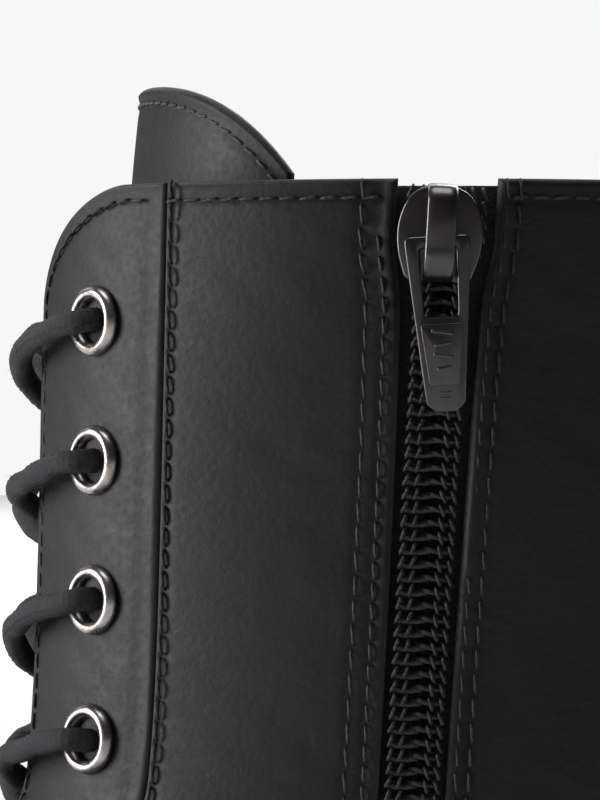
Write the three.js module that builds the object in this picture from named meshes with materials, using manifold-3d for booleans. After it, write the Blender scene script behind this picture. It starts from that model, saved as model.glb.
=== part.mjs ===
// A leather fire boot for the right foot, with a laced front and a zip on its inner side.
// Millimetres, +Z up. The toe points to -Y, the zip side is +X, and the sole stands on Z = 0.
import * as THREE from 'three';
import { mergeVertices } from 'three/addons/utils/BufferGeometryUtils.js';
import Module from 'manifold-3d';

const wasm = await Module();
wasm.setup();
const { lerp, smoothstep } = THREE.MathUtils;

// ---------------------------------------------------------------- driving dimensions
const soleLength = 300; // toe to heel, over the welt
const weltReach = 4; // how far the welt stands out past the upper
const toplineHeight = 240;
const shaftWidth = 92; // side to side at the topline
const shaftDepth = 115; // front to back at the topline
const ankleWidth = 79; // side to side at the ankle
const ankleHeight = 105;
const heelToShaft = 66; // heel end of the sole to the middle of the shaft
const throatHeight = 92; // where the lacing opening ends
const throatReach = 74; // throat in front of the shaft's front
const featherHeight = 30; // top of the welt at the heel
const ballWidth = 103; // widest part of the upper
const heelWidth = 72;

const gap = 0.3; // between pieces that touch
const leather = 2;
const facingThick = 3.2; // leather doubled with its backing
const liningThick = 1.2;
const stiffenerDepth = leather + 0.8; // toe cap and heel counter, under the leather
const stiffenerThick = 1.5;
const footLiningDepth = leather + 3.5; // lining under the stiffeners
const shaftLiningDepth = leather + 1;

const openingHalf = 8; // facing edge from the middle of the boot
const facingWidth = 26.2; // facing, across, at the topline
const facingWidthLow = 21.8; // and at the throat
const cornerWide = 20; // rounded top corner of a facing
const cornerHigh = 16;
const eyeletPairs = 8;
const eyeletIn = 16.8; // eyelet centre from the facing edge
const eyeletBelowTop = 19.2;
const eyeletAboveThroat = 12.5;
const laceRadius = 1.7;
const eyeletHole = laceRadius + 1.3; // radii
const eyeletOuter = eyeletHole + 2;
const barrelWall = 0.5;
const aglet = { length: 22, radius: laceRadius + 0.3 };

const zipLean = 0.0585; // forward lean going down, per millimetre
const zipTopAft = 1; // zip at the topline, behind the middle of the shaft
const zipBottom = 74; // height of the lower end of the teeth
const zipRestBelowTop = 7.5; // middle of the closed slider
const chainHalf = 4.05;
const chainThick = 2.2;
const tapeHalf = 16;
const tapeThick = 0.8;
const tapeDepth = leather + 1;
const guardHalf = 14.5;
const guardDepth = leather + 4.1;
const guardThick = 1;
const sliderLength = 13.5;
const sliderWidth = 11.9;
const sliderPlate = 1.2;
const pullerLength = 24;

const weltThick = 3.6;
const midsoleThick = 3.6;
const outsoleHeelThick = 5;
const boardThick = 2.4;
const footbedThick = 6;
const toeCapLength = 52;
const counterLength = 50;
const counterHeight = 82;
const toeSpring = 8;

// ---------------------------------------------------------------- what follows from them
const toeY = -soleLength / 2 + weltReach;
const heelY = soleLength / 2 - weltReach;
const shaftY = soleLength / 2 - heelToShaft;
const shaftFront = shaftY - shaftDepth / 2;
const shaftBack = shaftY + shaftDepth / 2;
const throatY = shaftFront - throatReach;
const eyeletX = openingHalf + eyeletIn;

// A smooth line through [place, value] pairs, straight on past its ends.
function profile(...points) {
  const slopes = points.slice(1).map(([at, value], i) => (value - points[i][1]) / (at - points[i][0]));
  const tangents = points.map((_, i) => {
    const before = slopes[i - 1] ?? slopes[i];
    const after = slopes[i] ?? before;
    return before * after <= 0 ? 0 : (2 * before * after) / (before + after);
  });
  return (at) => {
    const end = points.length - 1;
    if (at <= points[0][0]) return points[0][1] + tangents[0] * (at - points[0][0]);
    if (at >= points[end][0]) return points[end][1] + tangents[end] * (at - points[end][0]);
    const i = points.findIndex(([next]) => next > at) - 1;
    const span = points[i + 1][0] - points[i][0];
    const t = (at - points[i][0]) / span;
    const s = 1 - t;
    return points[i][1] * s * s * (1 + 2 * t) + points[i + 1][1] * t * t * (1 + 2 * s)
      + span * t * s * (tangents[i] * s - tangents[i + 1] * t);
  };
}

const spread = (from, to, count) => Array.from({ length: count + 1 }, (_, i) => lerp(from, to, i / count));
const upFoot = (share) => lerp(featherHeight, throatHeight, share);
const upShaft = (share) => lerp(ankleHeight, toplineHeight, share);

// Front and back of the upper at each height, with the roundness of both ends.
const frontLine = profile(
  [upFoot(0), toeY], [upFoot(0.17), toeY - 1], [upFoot(0.36), toeY + 5], [upFoot(0.52), toeY + 24],
  [upFoot(0.75), toeY + 62], [throatHeight, throatY], [upShaft(0), shaftFront - 54],
  [upShaft(0.23), shaftFront - 14], [upShaft(0.38), shaftFront - 3], [upShaft(0.6), shaftFront - 1.2],
  [toplineHeight, shaftFront],
);
const backLine = profile(
  [upFoot(0), heelY], [upFoot(0.25), heelY + 2], [upFoot(0.6), heelY + 1.5], [upShaft(0), heelY - 6],
  [upShaft(0.25), shaftBack - 7], [upShaft(0.5), shaftBack - 5], [toplineHeight, shaftBack],
);
const frontRound = profile([featherHeight, 48], [throatHeight, 54], [toplineHeight, shaftDepth / 2]);
const backRound = profile([featherHeight, 38], [ankleHeight, 42], [toplineHeight, shaftDepth / 2]);

// Half width of the shaft, and how much wider the foot is at each place along it.
const shaftHalf = (height) =>
  ankleWidth / 2 + ((height - ankleHeight) * (shaftWidth - ankleWidth)) / 2 / (toplineHeight - ankleHeight);
const footExtra = profile(
  [toeY, 9], [toeY + 36, ballWidth / 2 - 38.5], [toeY + 72, ballWidth / 2 - shaftHalf(featherHeight)],
  [toeY + 118, 7], [toeY + 160, 0], [heelY, (heelWidth / 2 - shaftHalf(featherHeight)) * 0.1],
);
const toeTurn = profile([toeY, 7], [toeY + 60, 4], [toeY + 130, 0], [heelY, 0]);
const footFade = (height) => 1 - smoothstep(height, featherHeight, ankleHeight + 12);
// The top of the welt drops to the ball and rises again to the toe.
const featherAt = profile(
  [toeY, featherHeight - 4], [toeY + 72, featherHeight - 12], [toeY + 165, featherHeight - 4],
  [toeY + 205, featherHeight], [heelY, featherHeight],
);
const settle = (y, height) => (featherAt(y) - featherHeight) * footFade(height);

// Ends of the plan outline at a height, grown by reach.
function outline(height, reach = 0) {
  const front = frontLine(height) - reach;
  const back = backLine(height) + reach;
  const middle = (back - front) / 2;
  const nose = Math.min(frontRound(height) + reach, middle);
  const tail = Math.min(backRound(height) + reach, middle);
  return { front, back, nose, tail };
}

// Turn 0 is the front, 1 to 2 the straight side, 3 the back.
function yAtTurn(turn, { front, back, nose, tail }) {
  if (turn <= 1) return front + nose * (1 - Math.cos((turn * Math.PI) / 2));
  if (turn <= 2) return lerp(front + nose, back - tail, turn - 1);
  return back - tail * (1 - Math.cos(((3 - turn) * Math.PI) / 2));
}
function turnAtY(y, height, reach = 0) {
  const { front, back, nose, tail } = outline(height, reach);
  const clamped = THREE.MathUtils.clamp(y, front, back);
  if (clamped < front + nose) return (Math.acos(1 - (clamped - front) / nose) * 2) / Math.PI;
  if (clamped > back - tail) return 3 - (Math.acos(1 - (back - clamped) / tail) * 2) / Math.PI;
  return 1 + (clamped - front - nose) / Math.max(back - tail - front - nose, 1e-6);
}
const roundness = (turn) => Math.sin((Math.min(turn, 3 - turn, 1) * Math.PI) / 2);
const halfWidth = (y, height) => shaftHalf(height) + footExtra(y) * footFade(height);
const turnAtX = (x, height) =>
  (Math.asin(Math.min(x / halfWidth(frontLine(height), height), 1)) * 2) / Math.PI;
const turnAtBackX = (x, height) => 3 - (Math.asin(x / halfWidth(backLine(height), height)) * 2) / Math.PI;

// The outside of the upper. A negative turn is the outer side, and past 3 it comes back round on it.
function upper(turn, height) {
  const wrapped = Math.abs(turn) > 3 ? turn - 6 * Math.sign(turn) : turn;
  const side = Math.sign(wrapped) || 1;
  const along = Math.abs(wrapped);
  const y = yAtTurn(along, outline(height));
  const x = toeTurn(y) * footFade(height) + side * halfWidth(y, height) * roundness(along);
  return new THREE.Vector3(x, y, height + settle(y, height));
}

const nudge = 1e-3;
function normalOf(surface, p, q) {
  const across = surface(p + nudge, q).sub(surface(p - nudge, q));
  return across.cross(surface(p, q + nudge).sub(surface(p, q - nudge))).normalize();
}
const under = (surface, p, q, depth) => surface(p, q).addScaledVector(normalOf(surface, p, q), -depth);

// ---------------------------------------------------------------- geometry helpers
function closedGeometry(points, index) {
  const geometry = new THREE.BufferGeometry().setFromPoints(points);
  geometry.setIndex(index);
  return facingOut(geometry);
}

// Turns the faces round if they point inwards, and shares the vertices.
function facingOut(source) {
  source.deleteAttribute('normal');
  source.deleteAttribute('uv');
  const geometry = mergeVertices(source, 1e-4);
  const { position } = geometry.attributes;
  const index = geometry.index.array;
  const [a, b, c] = [new THREE.Vector3(), new THREE.Vector3(), new THREE.Vector3()];
  let volume = 0;
  for (let i = 0; i < index.length; i += 3) {
    a.fromBufferAttribute(position, index[i]);
    b.fromBufferAttribute(position, index[i + 1]);
    c.fromBufferAttribute(position, index[i + 2]);
    volume += a.dot(b.cross(c));
  }
  if (volume < 0) index.reverse();
  return geometry;
}

// A closed sheet of a surface between two depths. place(a, b) gives the surface's own two values.
function sheet(surface, place, columns, rows, depth, thick) {
  const points = [];
  const depthAt = typeof depth === 'function' ? depth : () => depth;
  for (const layer of [0, thick]) {
    for (let j = 0; j <= rows; j++) {
      for (let i = 0; i <= columns; i++) {
        const [p, q] = place(i / columns, j / rows);
        points.push(under(surface, p, q, depthAt(q) + layer));
      }
    }
  }
  const wide = columns + 1;
  const inner = wide * (rows + 1);
  const index = [];
  const quad = (a, b, c, d) => index.push(a, b, c, a, c, d);
  for (let j = 0; j < rows; j++) {
    for (let i = 0; i < columns; i++) {
      const k = j * wide + i;
      quad(k, k + 1, k + 1 + wide, k + wide);
      quad(inner + k, inner + k + wide, inner + k + 1 + wide, inner + k + 1);
    }
  }
  for (let i = 0; i < columns; i++) {
    const top = rows * wide + i;
    quad(i, inner + i, inner + i + 1, i + 1);
    quad(top, top + 1, inner + top + 1, inner + top);
  }
  for (let j = 0; j < rows; j++) {
    const left = j * wide;
    const right = left + columns;
    quad(left, left + wide, inner + left + wide, inner + left);
    quad(right, inner + right, inner + right + wide, right + wide);
  }
  return closedGeometry(points, index);
}

// A closed body through rings of points, closed by its first and last ring, or round on itself.
function loft(rings, loop = false) {
  const sides = rings[0].length;
  const index = [];
  const steps = loop ? rings.length : rings.length - 1;
  for (let j = 0; j < steps; j++) {
    const here = j * sides;
    const next = ((j + 1) % rings.length) * sides;
    for (let i = 0; i < sides; i++) {
      const k = (i + 1) % sides;
      index.push(here + i, here + k, next + k, here + i, next + k, next + i);
    }
  }
  const last = (rings.length - 1) * sides;
  for (let i = 2; i < sides && !loop; i++) index.push(0, i, i - 1, last, last + i - 1, last + i);
  return closedGeometry(rings.flat(), index);
}

function toSolid(geometry) {
  const merged = facingOut(geometry.clone());
  return new wasm.Manifold(new wasm.Mesh({
    numProp: 3,
    vertProperties: merged.attributes.position.array,
    triVerts: new Uint32Array(merged.index.array),
  }));
}
function toGeometry(solid) {
  const { vertProperties, triVerts } = solid.getMesh();
  const geometry = new THREE.BufferGeometry();
  geometry.setAttribute('position', new THREE.BufferAttribute(new Float32Array(vertProperties), 3));
  geometry.setIndex(new THREE.BufferAttribute(new Uint32Array(triVerts), 1));
  return geometry;
}
const join = (...parts) => toGeometry(parts.map(toSolid).reduce((all, one) => all.add(one)));
const cut = (base, ...tools) =>
  toGeometry(tools.map(toSolid).reduce((left, one) => left.subtract(one), toSolid(base)));

// ---------------------------------------------------------------- materials and the boot
const finish = (color, roughness, metalness = 0) =>
  () => new THREE.MeshStandardMaterial({ color, roughness, metalness });
const black = {
  leather: finish('#26242a', 0.5),
  rubber: finish('#1c1c1d', 0.85),
  textile: finish('#202024', 0.95),
  enamel: finish('#171416', 0.22, 0.3),
};
const steel = finish('#8d8a86', 0.35, 0.9);
const gunmetal = finish('#86807c', 0.3, 0.95);
const liningCloth = finish('#3a3a3f', 0.95);
const boardFibre = finish('#7a6a55', 0.9);

const boot = new THREE.Group();
boot.name = 'fire_boot';
function add(name, geometry, material, parent = boot) {
  const mesh = new THREE.Mesh(geometry, material());
  mesh.name = name;
  parent.add(mesh);
  return mesh;
}

// ---------------------------------------------------------------- sole
// Plate between two levels, in rows from one turn to another of the plan outline grown by reach.
function solePlate(turns, reach, bottom, top) {
  const plan = outline(featherHeight, reach);
  return loft(turns.map((turn) => {
    const y = turn > blunt && turn < 3 - blunt ? yAtTurn(turn, plan) : turn < 1 ? plan.front : plan.back;
    const half = (halfWidth(y, featherHeight) + reach) * roundness(turn);
    const centre = toeTurn(y);
    return [[-half, bottom(y)], [half, bottom(y)], [half, top(y)], [-half, top(y)]]
      .map(([x, z]) => new THREE.Vector3(centre + x, y, z));
  }));
}
const blunt = 0.07; // where a plate's rounded end is squared off
const soleTurns = (count = 24) => spread(blunt, 3 - blunt, count);
const below = (amount) => (y) => featherAt(y) - amount;

const midsoleTop = weltThick + 2 * gap;
const midsoleBottom = midsoleTop + midsoleThick;
const outsoleTop = midsoleBottom + gap;
const heelBreast = heelY - 68;
const treadFront = toeY + 45;
const treadBack = toeY + 105;
const heelTop = featherHeight - outsoleTop - outsoleHeelThick;
const tread = profile(
  [toeY, toeSpring], [treadFront - 12, 0.6], [treadFront, 0], [treadBack, 0], [treadBack + 12, 1],
  [heelBreast - 20, heelTop - 1], [heelBreast, heelTop], [heelY, heelTop],
);
const lug = { depth: 4.5, groove: 4, pitch: 13 };

function box(x, y, z, place, turn = 0) {
  const geometry = new THREE.BoxGeometry(x, y, z);
  return geometry.applyMatrix4(new THREE.Matrix4().makeRotationZ(turn)).translate(...place);
}

// Chevron grooves across the tread, from one place along the sole to another.
function grooves(from, to, level, depthUp) {
  const found = [];
  for (let y = from; y < to; y += lug.pitch) {
    for (const side of [-1, 1]) {
      found.push(box(48, lug.groove, 2 * depthUp, [side * 34 + toeTurn(y), y, level(y)], side * 0.3));
    }
  }
  return found;
}

function buildSole() {
  const turnsFrom = (y, reach) => spread(turnAtY(y, featherHeight, reach), 3 - blunt, 9);
  const whole = solePlate(soleTurns(), weltReach, tread, below(outsoleTop));
  add('outsole', cut(whole, ...grooves(treadFront + 4, treadBack + 6, tread, lug.depth)), black.rubber);
  const heel = solePlate(turnsFrom(heelBreast, weltReach), weltReach, () => 0, () => heelTop - gap);
  add('heel_block', cut(heel, ...grooves(heelBreast + 16, heelY - 18, () => 0, lug.depth)), black.rubber);
  const middle = solePlate(soleTurns(), weltReach - 0.4, below(midsoleBottom), below(midsoleTop));
  add('midsole', middle, black.rubber);

  const rim = (reach) => soleTurns(30).map((turn) => {
    const y = yAtTurn(turn, outline(featherHeight, reach));
    return [(halfWidth(y, featherHeight) + reach) * roundness(turn), y];
  });
  const sections = [...rim(weltReach), ...rim(weltReach).reverse().map(([x, y]) => [-x, y])];
  const inside = [...rim(-9), ...rim(-9).reverse().map(([x, y]) => [-x, y])];
  add('welt', loft(sections.map(([x, y], i) => {
    const [innerX, innerY] = inside[i];
    const top = featherAt(y) - gap;
    const innerTop = featherAt(innerY) - gap;
    return [[x, y, top - weltThick + gap], [x, y, top], [innerX, innerY, innerTop],
      [innerX, innerY, innerTop - weltThick + gap]]
      .map(([px, py, pz]) => new THREE.Vector3(px + toeTurn(py), py, pz));
  }), true), black.rubber);

  const shankRows = spread(toeY + 110, heelY - 45, 14);
  add('shank', loft(shankRows.map((y) => [[-8, 3.5], [8, 3.5], [8, 2.2], [-8, 2.2]]
    .map(([x, down]) => new THREE.Vector3(x + toeTurn(y), y, featherAt(y) - down)))), steel);
  add('puncture_plate', solePlate(soleTurns(20), -10.5, below(1.5), below(gap)), finish('#b9b08a', 0.9));
  const board = solePlate(soleTurns(20), -8.6, below(-gap), below(-gap - boardThick));
  add('insole_board', board, boardFibre);
  const bedBottom = 2 * gap + boardThick;
  const bed = solePlate(soleTurns(20), -9.4, below(-bedBottom), below(-bedBottom - footbedThick));
  add('footbed', bed, liningCloth);
}

// ---------------------------------------------------------------- upper
const bottomEdge = featherHeight + gap;
const facingWidthAt = (height) =>
  lerp(facingWidthLow, facingWidth, (height - throatHeight) / (toplineHeight - throatHeight));
const facingBack = (height) => turnAtX(openingHalf + facingWidthAt(height), height);
const throatSide = yAtTurn(facingBack(throatHeight), outline(throatHeight));
// The seam between vamp and quarters sweeps back and down from the throat.
const vampSeamY = profile(
  [featherHeight, shaftFront - 20], [upFoot(0.5), shaftFront - 32], [throatHeight, throatSide],
);
const quarterFront = (height) =>
  (height < throatHeight ? turnAtY(vampSeamY(height), height) : facingBack(height));
const seamTurn = 0.0095; // half of a seam's gap, as a share of a turn

const zipY = (height) => shaftY + zipTopAft - (toplineHeight - height) * zipLean;
const slotLow = zipBottom - 12;
const slotHalf = profile(
  [slotLow, 0.15], [slotLow + 6, 4.65], [lerp(zipBottom, toplineHeight, 0.5), 4.65],
  [toplineHeight - 50, 4.9], [toplineHeight - 18, 5.6], [toplineHeight - 8, 6.9], [toplineHeight, 7],
);
const slotAt = (height) => (height < slotLow ? 0.15 : slotHalf(height));
const liningDepth = (height) =>
  lerp(footLiningDepth, shaftLiningDepth, smoothstep(height, upFoot(0.9), ankleHeight + 8));
const liningSlot = (height) => (height <= slotLow ? 0.15 : tapeHalf + 1.3);

// Heights of the rows of a panel, closest together where the boot curves most.
const vampRows = [0.005, 0.14, 0.28, 0.4, 0.5, 0.61, 0.74, 0.88].map(upFoot);
const clearOfSlot = vampRows.filter((height) => Math.abs(height - slotLow - 3) > 3.5);
const shaftRowCount = Math.round((toplineHeight - throatHeight) / 18.5);
const shaftRows = (top) => [
  ...clearOfSlot, slotLow, slotLow + 6, throatHeight - gap, throatHeight + gap,
  ...spread(0, 1, shaftRowCount).map((share) => lerp(throatHeight + 8, top, share ** 1.3)),
].sort((a, b) => a - b);

// A panel of the upper between two edges, each given as a turn at a height.
function panel(from, to, heights, columns, depth, thick) {
  const rows = heights.length - 1;
  const place = (a, b) => {
    const height = heights[Math.round(b * rows)];
    return [lerp(from(height), to(height), a), height];
  };
  return sheet(upper, place, columns, rows, depth, thick);
}

function buildUpper() {
  const seamEdge = (height) => quarterFront(height) - seamTurn;
  const quarterEdge = (height) => quarterFront(height) + seamTurn;
  const vampTo = [...vampRows, throatHeight - gap];
  add('vamp', panel((h) => -seamEdge(h), seamEdge, vampTo, 16, 0, leather), black.leather);
  add('vamp_lining', panel((h) => -seamEdge(h), seamEdge, [...vampRows, throatHeight - 1], 16,
    footLiningDepth, liningThick), liningCloth);

  const capEdge = (height) => turnAtY(toeY + toeCapLength, height);
  add('steel_toe_cap', panel((h) => -capEdge(h), capEdge, vampRows.slice(0, 6), 16,
    stiffenerDepth, stiffenerThick), steel);
  const counterEdge = (height) => turnAtY(heelY - counterLength, height);
  const counterRows = shaftRows(toplineHeight).filter((height) => height < counterHeight);
  add('heel_counter', panel(counterEdge, (h) => 6 - counterEdge(h), counterRows, 10,
    stiffenerDepth, stiffenerThick), boardFibre);

  const stayHalf = 12;
  const stayEdge = (height) => turnAtBackX(stayHalf, height);
  const quarterRows = shaftRows(toplineHeight);
  add('backstay', panel((h) => stayEdge(h) + seamTurn, (h) => 6 - stayEdge(h) - seamTurn, quarterRows, 3,
    0, leather), black.leather);
  const atZip = (offset) => (height) => turnAtY(zipY(height) + offset(height), height);
  const quarterTo = (height) => stayEdge(height) - seamTurn;
  add('lateral_quarter', panel((h) => -quarterTo(h), (h) => -quarterEdge(h), quarterRows, 12, 0, leather),
    black.leather);
  add('medial_front_quarter', panel(quarterEdge, atZip((h) => -slotAt(h)), quarterRows, 6, 0, leather),
    black.leather);
  add('medial_rear_quarter', panel(atZip(slotAt), quarterTo, quarterRows, 7, 0, leather), black.leather);

  const middleBack = () => 3 - seamTurn;
  const liningEdge = (height) => quarterFront(height) + 6 * seamTurn;
  const liningRows = shaftRows(toplineHeight - 0.5);
  const lined = (name, from, to, columns) =>
    add(name, panel(from, to, liningRows, columns, liningDepth, liningThick), liningCloth);
  lined('lateral_lining', (h) => -middleBack(h), (h) => -liningEdge(h), 12);
  lined('medial_front_lining', liningEdge, atZip((h) => -liningSlot(h)), 5);
  lined('medial_rear_lining', atZip(liningSlot), middleBack, 8);
}

// ---------------------------------------------------------------- facings, eyelets and lace
// Drop of a facing's rounded top corner, at a distance from its front edge.
function cornerDrop(distance) {
  const within = Math.max(1 - distance / cornerWide, 0);
  return cornerHigh * (1 - (1 - within ** 1.5) ** (2 / 3));
}

// Heights of the eyelets, evenly spaced along the slope of the facing.
function eyeletHeights() {
  const fine = spread(throatHeight + eyeletAboveThroat, toplineHeight - eyeletBelowTop, 200);
  const run = [0];
  fine.slice(1).forEach((height, i) => {
    const here = upper(turnAtX(eyeletX, height), height);
    run.push(run[i] + here.distanceTo(upper(turnAtX(eyeletX, fine[i]), fine[i])));
  });
  return spread(run[run.length - 1], 0, eyeletPairs - 1)
    .map((length) => fine[Math.max(run.findIndex((sum) => sum >= length - 1e-6), 0)]);
}
const eyeletLevels = eyeletHeights();
const eyeletTurn = (height) => turnAtX(eyeletX, height);

// Sets a geometry made along +Y on the upper, with +Y pointing out of the leather.
function onUpper(geometry, turn, height) {
  const out = normalOf(upper, turn, height);
  const spin = new THREE.Quaternion().setFromUnitVectors(new THREE.Vector3(0, 1, 0), out);
  const placed = new THREE.Matrix4().compose(upper(turn, height), spin, new THREE.Vector3(1, 1, 1));
  return geometry.applyMatrix4(placed);
}

function eyeletGeometry() {
  const back = -facingThick - 1.2;
  const barrel = eyeletHole + barrelWall;
  const section = [[eyeletHole, back - 0.4], [eyeletOuter - 0.5, back - 0.4], [eyeletOuter - 0.5, back],
    [barrel, back], [barrel, 0.8], [eyeletOuter, 0.8], [eyeletOuter - 0.4, 1.5], [eyeletHole, 1.5]];
  const ring = [...section, section[0]].map(([r, y]) => new THREE.Vector2(r, y));
  return facingOut(new THREE.LatheGeometry(ring, 8));
}

function buildFacings() {
  for (const [name, side] of [['medial', 1], ['lateral', -1]]) {
    const low = throatHeight + gap;
    const place = (a, b) => {
      const across = side > 0 ? a : 1 - a;
      const top = toplineHeight - cornerDrop(across * facingWidth);
      const height = lerp(low, top, b);
      const front = turnAtX(openingHalf, height);
      const back = facingBack(height) - seamTurn;
      return [side * lerp(front, back, across), height];
    };
    const flat = sheet(upper, place, 4, 16, 0, facingThick);
    const bores = eyeletLevels.map((height) => {
      const clear = eyeletHole + barrelWall + 0.7;
      const bore = new THREE.CylinderGeometry(clear, clear, 12, 8);
      return onUpper(bore, side * eyeletTurn(height), height);
    });
    add(`${name}_facing`, cut(flat, ...bores), black.leather);
    eyeletLevels.forEach((height, i) => {
      add(`${name}_eyelet_${i + 1}`, onUpper(eyeletGeometry(), side * eyeletTurn(height), height), gunmetal);
    });
  }
}

const tongueThick = 1.8;
const tongueRise = 15; // above the topline at its middle
const tongueFall = 13.8; // of its top edge, from the middle to the sides
const tongueSpread = 1.36; // half angle at the top, radians
const behindLace = facingThick + 2 * laceRadius;
const tongueDepth = profile(
  [throatHeight - 6, behindLace + 0.3], [throatHeight + 3, behindLace + 2.4], [ankleHeight + 20, behindLace + 3.6],
  [toplineHeight - 40, behindLace + 6.4], [toplineHeight - 20, behindLace + 7],
  [toplineHeight - 4, behindLace + 6.5], [toplineHeight + tongueRise, behindLace + 7.7],
);
// The tongue is a trough of its own: bend is the angle round it, 0 at the front.
function tongueSurface(bend, height) {
  const slope = (frontLine(height + 1) - frontLine(height - 1)) / 2;
  const depth = tongueDepth(height) * Math.hypot(1, slope);
  const half = Math.min(shaftHalf(height) - 8.5, 37.5);
  const round = lerp(frontRound(height) * 0.75, 30, smoothstep(height, ankleHeight, toplineHeight));
  const y = frontLine(height) + depth + round * (1 - Math.cos(bend));
  return new THREE.Vector3(half * Math.sin(bend), y, height + settle(frontLine(height), height));
}

function buildTongue() {
  const low = throatHeight - 5;
  const place = (a, b) => {
    const side = 2 * a - 1;
    const top = toplineHeight + tongueRise - tongueFall * Math.abs(side) ** 3.5;
    const height = lerp(low, top, b);
    const opened = smoothstep(height, toplineHeight - 45, toplineHeight - 4);
    return [side * lerp(0.72, tongueSpread, opened), height];
  };
  add('tongue', sheet(tongueSurface, place, 8, 14, 0, tongueThick), black.leather);
}

// The lace runs inside-out through every eyelet, over the facing's edge and down under the other facing.
const lace = {
  over: -laceRadius - 1.5,
  top: -laceRadius - 2.2,
  within: facingThick + laceRadius + 2.1,
  crossOver: -0.4,
  crossUnder: 2 * laceRadius + 1,
};
function laceLeg(side, number) {
  const high = eyeletLevels[number];
  const next = eyeletLevels[number + 1];
  const at = (x, share, depth) => {
    const height = lerp(high, next, share);
    return under(upper, Math.sign(x) * turnAtX(Math.abs(x), height), height, depth);
  };
  const crossing = (number % 2 === 0) === (side > 0) ? lace.crossOver : lace.crossUnder;
  return [
    at(side * eyeletX, 0, lace.within), at(side * eyeletX, 0, 1.4), at(side * (eyeletX - 0.3), 0, lace.over + 0.4),
    at(side * (eyeletX - 4.5), 0.06, lace.top), at(side * (openingHalf + 0.6), 0.26, lace.over),
    at(side * 0.01, 0.5, crossing), at(-side * (openingHalf + 0.3), 0.74, lace.within),
    at(-side * (eyeletX - 4.5), 0.92, lace.within + 0.1),
  ];
}
// From the top eyelet the end drops down inside the shaft and lies along the footbed.
function laceEnd(side) {
  const high = eyeletLevels[0];
  const tucked = [[3, 4, 6.5], [5.6, 10, 6.2], [6.6, 20, 6], [7, 33, 6.1]].map(([out, down, depth]) =>
    under(upper, turnAtX(eyeletX + out, high - down), high - down, depth));
  const { x, y, z } = tucked[tucked.length - 1];
  const floor = featherAt(y) + boardThick + footbedThick + 3 * gap + aglet.radius;
  const hanging = [
    [x, y + 0.5, lerp(z, floor, 0.2)], [x, y + 0.5, lerp(z, floor, 0.5)],
    [x - 1, y + 0.5, lerp(z, floor, 0.75)], [x - 3, y + 1, lerp(z, floor, 0.9)],
    [x - 6, y - 2, floor + 3], [x - 9, y - 12, floor + 0.3],
    [x - 10, y - 28, floor], [x - 12, y - 44, floor - 0.5],
  ].map((place) => new THREE.Vector3(...place));
  return [...tucked, ...hanging].map((point) => point.setX(side * point.x));
}

function strand(side) {
  const legs = spread(0, eyeletPairs - 2, eyeletPairs - 2).map((n) => laceLeg(n % 2 ? -side : side, n));
  return legs.flat();
}

function buildLace() {
  const lowest = eyeletLevels[eyeletPairs - 1];
  const across = (x, depth) => under(upper, Math.sign(x) * turnAtX(Math.abs(x), lowest), lowest, depth);
  const lastSide = (eyeletPairs - 1) % 2 ? -1 : 1;
  const bar = [[eyeletX, lace.within], [eyeletX, 1.4], [eyeletX - 0.6, -2.6], [eyeletX - 4.5, lace.top],
    [openingHalf, lace.over - 0.4]];
  const barPoints = (side) => bar.map(([x, depth]) => across(side * x, depth));
  const middle = across(0.01, lace.over - 0.4);
  const ends = [laceEnd(1), laceEnd(-1)];
  const route = [
    ...[...ends[0]].reverse(), ...strand(1), ...barPoints(lastSide), middle,
    ...barPoints(-lastSide).reverse(), ...strand(-1).reverse(), ...ends[1],
  ];
  add('lace', tube(route, laceRadius), black.textile);
  ends.forEach((end, i) => {
    const [before, tip] = end.slice(-2);
    const along = tip.clone().sub(before).normalize();
    const sleeve = facingOut(new THREE.LatheGeometry([
      [0, aglet.length], [aglet.radius * 0.7, aglet.length], [aglet.radius, aglet.length - 1.5],
      [aglet.radius, gap], [0, gap],
    ].map(([r, y]) => new THREE.Vector2(r, y)), 10));
    const spin = new THREE.Quaternion().setFromUnitVectors(new THREE.Vector3(0, 1, 0), along);
    sleeve.applyMatrix4(new THREE.Matrix4().compose(tip, spin, new THREE.Vector3(1, 1, 1)));
    add(i ? 'lateral_aglet' : 'medial_aglet', sleeve, black.enamel);
  });
}

// A round bar through points, with one ring of its section at each of them.
function tube(points, radius) {
  const path = new THREE.CatmullRomCurve3(points, false, 'centripetal');
  path.getUtoTmapping = (share) => share;
  const section = new THREE.Shape(spread(0, 7, 7).map((k) =>
    new THREE.Vector2(radius * Math.cos((k * Math.PI) / 4), radius * Math.sin((k * Math.PI) / 4))));
  const extruded = { steps: points.length - 1, extrudePath: path, bevelEnabled: false };
  return facingOut(new THREE.ExtrudeGeometry(section, extruded));
}

// ---------------------------------------------------------------- zip
// Its parts are made in a frame on the zip line at the closed slider: X out, Y to the heel, Z up the line.
const zipHeight = toplineHeight - zipRestBelowTop;
const zipSlope = (shaftWidth - ankleWidth) / 2 / (toplineHeight - ankleHeight);
const zipUp = new THREE.Vector3(zipSlope, zipLean, 1).normalize();
const zipOut = new THREE.Vector3(1, 0, -zipSlope).normalize();
const zipFrame = new THREE.Group();
zipFrame.matrixAutoUpdate = false;
zipFrame.matrix.makeBasis(zipOut, zipUp.clone().cross(zipOut), zipUp)
  .setPosition(shaftHalf(zipHeight), zipY(zipHeight), zipHeight);
boot.add(zipFrame);

// A flat shape drawn as (to the heel, up), from one distance out to another.
function facePlate(shape, from, thick) {
  const geometry = new THREE.ExtrudeGeometry(shape, { depth: thick, bevelEnabled: false, curveSegments: 6 });
  const turned = new THREE.Matrix4().makeBasis(
    new THREE.Vector3(0, 1, 0), new THREE.Vector3(0, 0, 1), new THREE.Vector3(1, 0, 0));
  return geometry.applyMatrix4(turned.setPosition(from, 0, 0));
}
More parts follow.
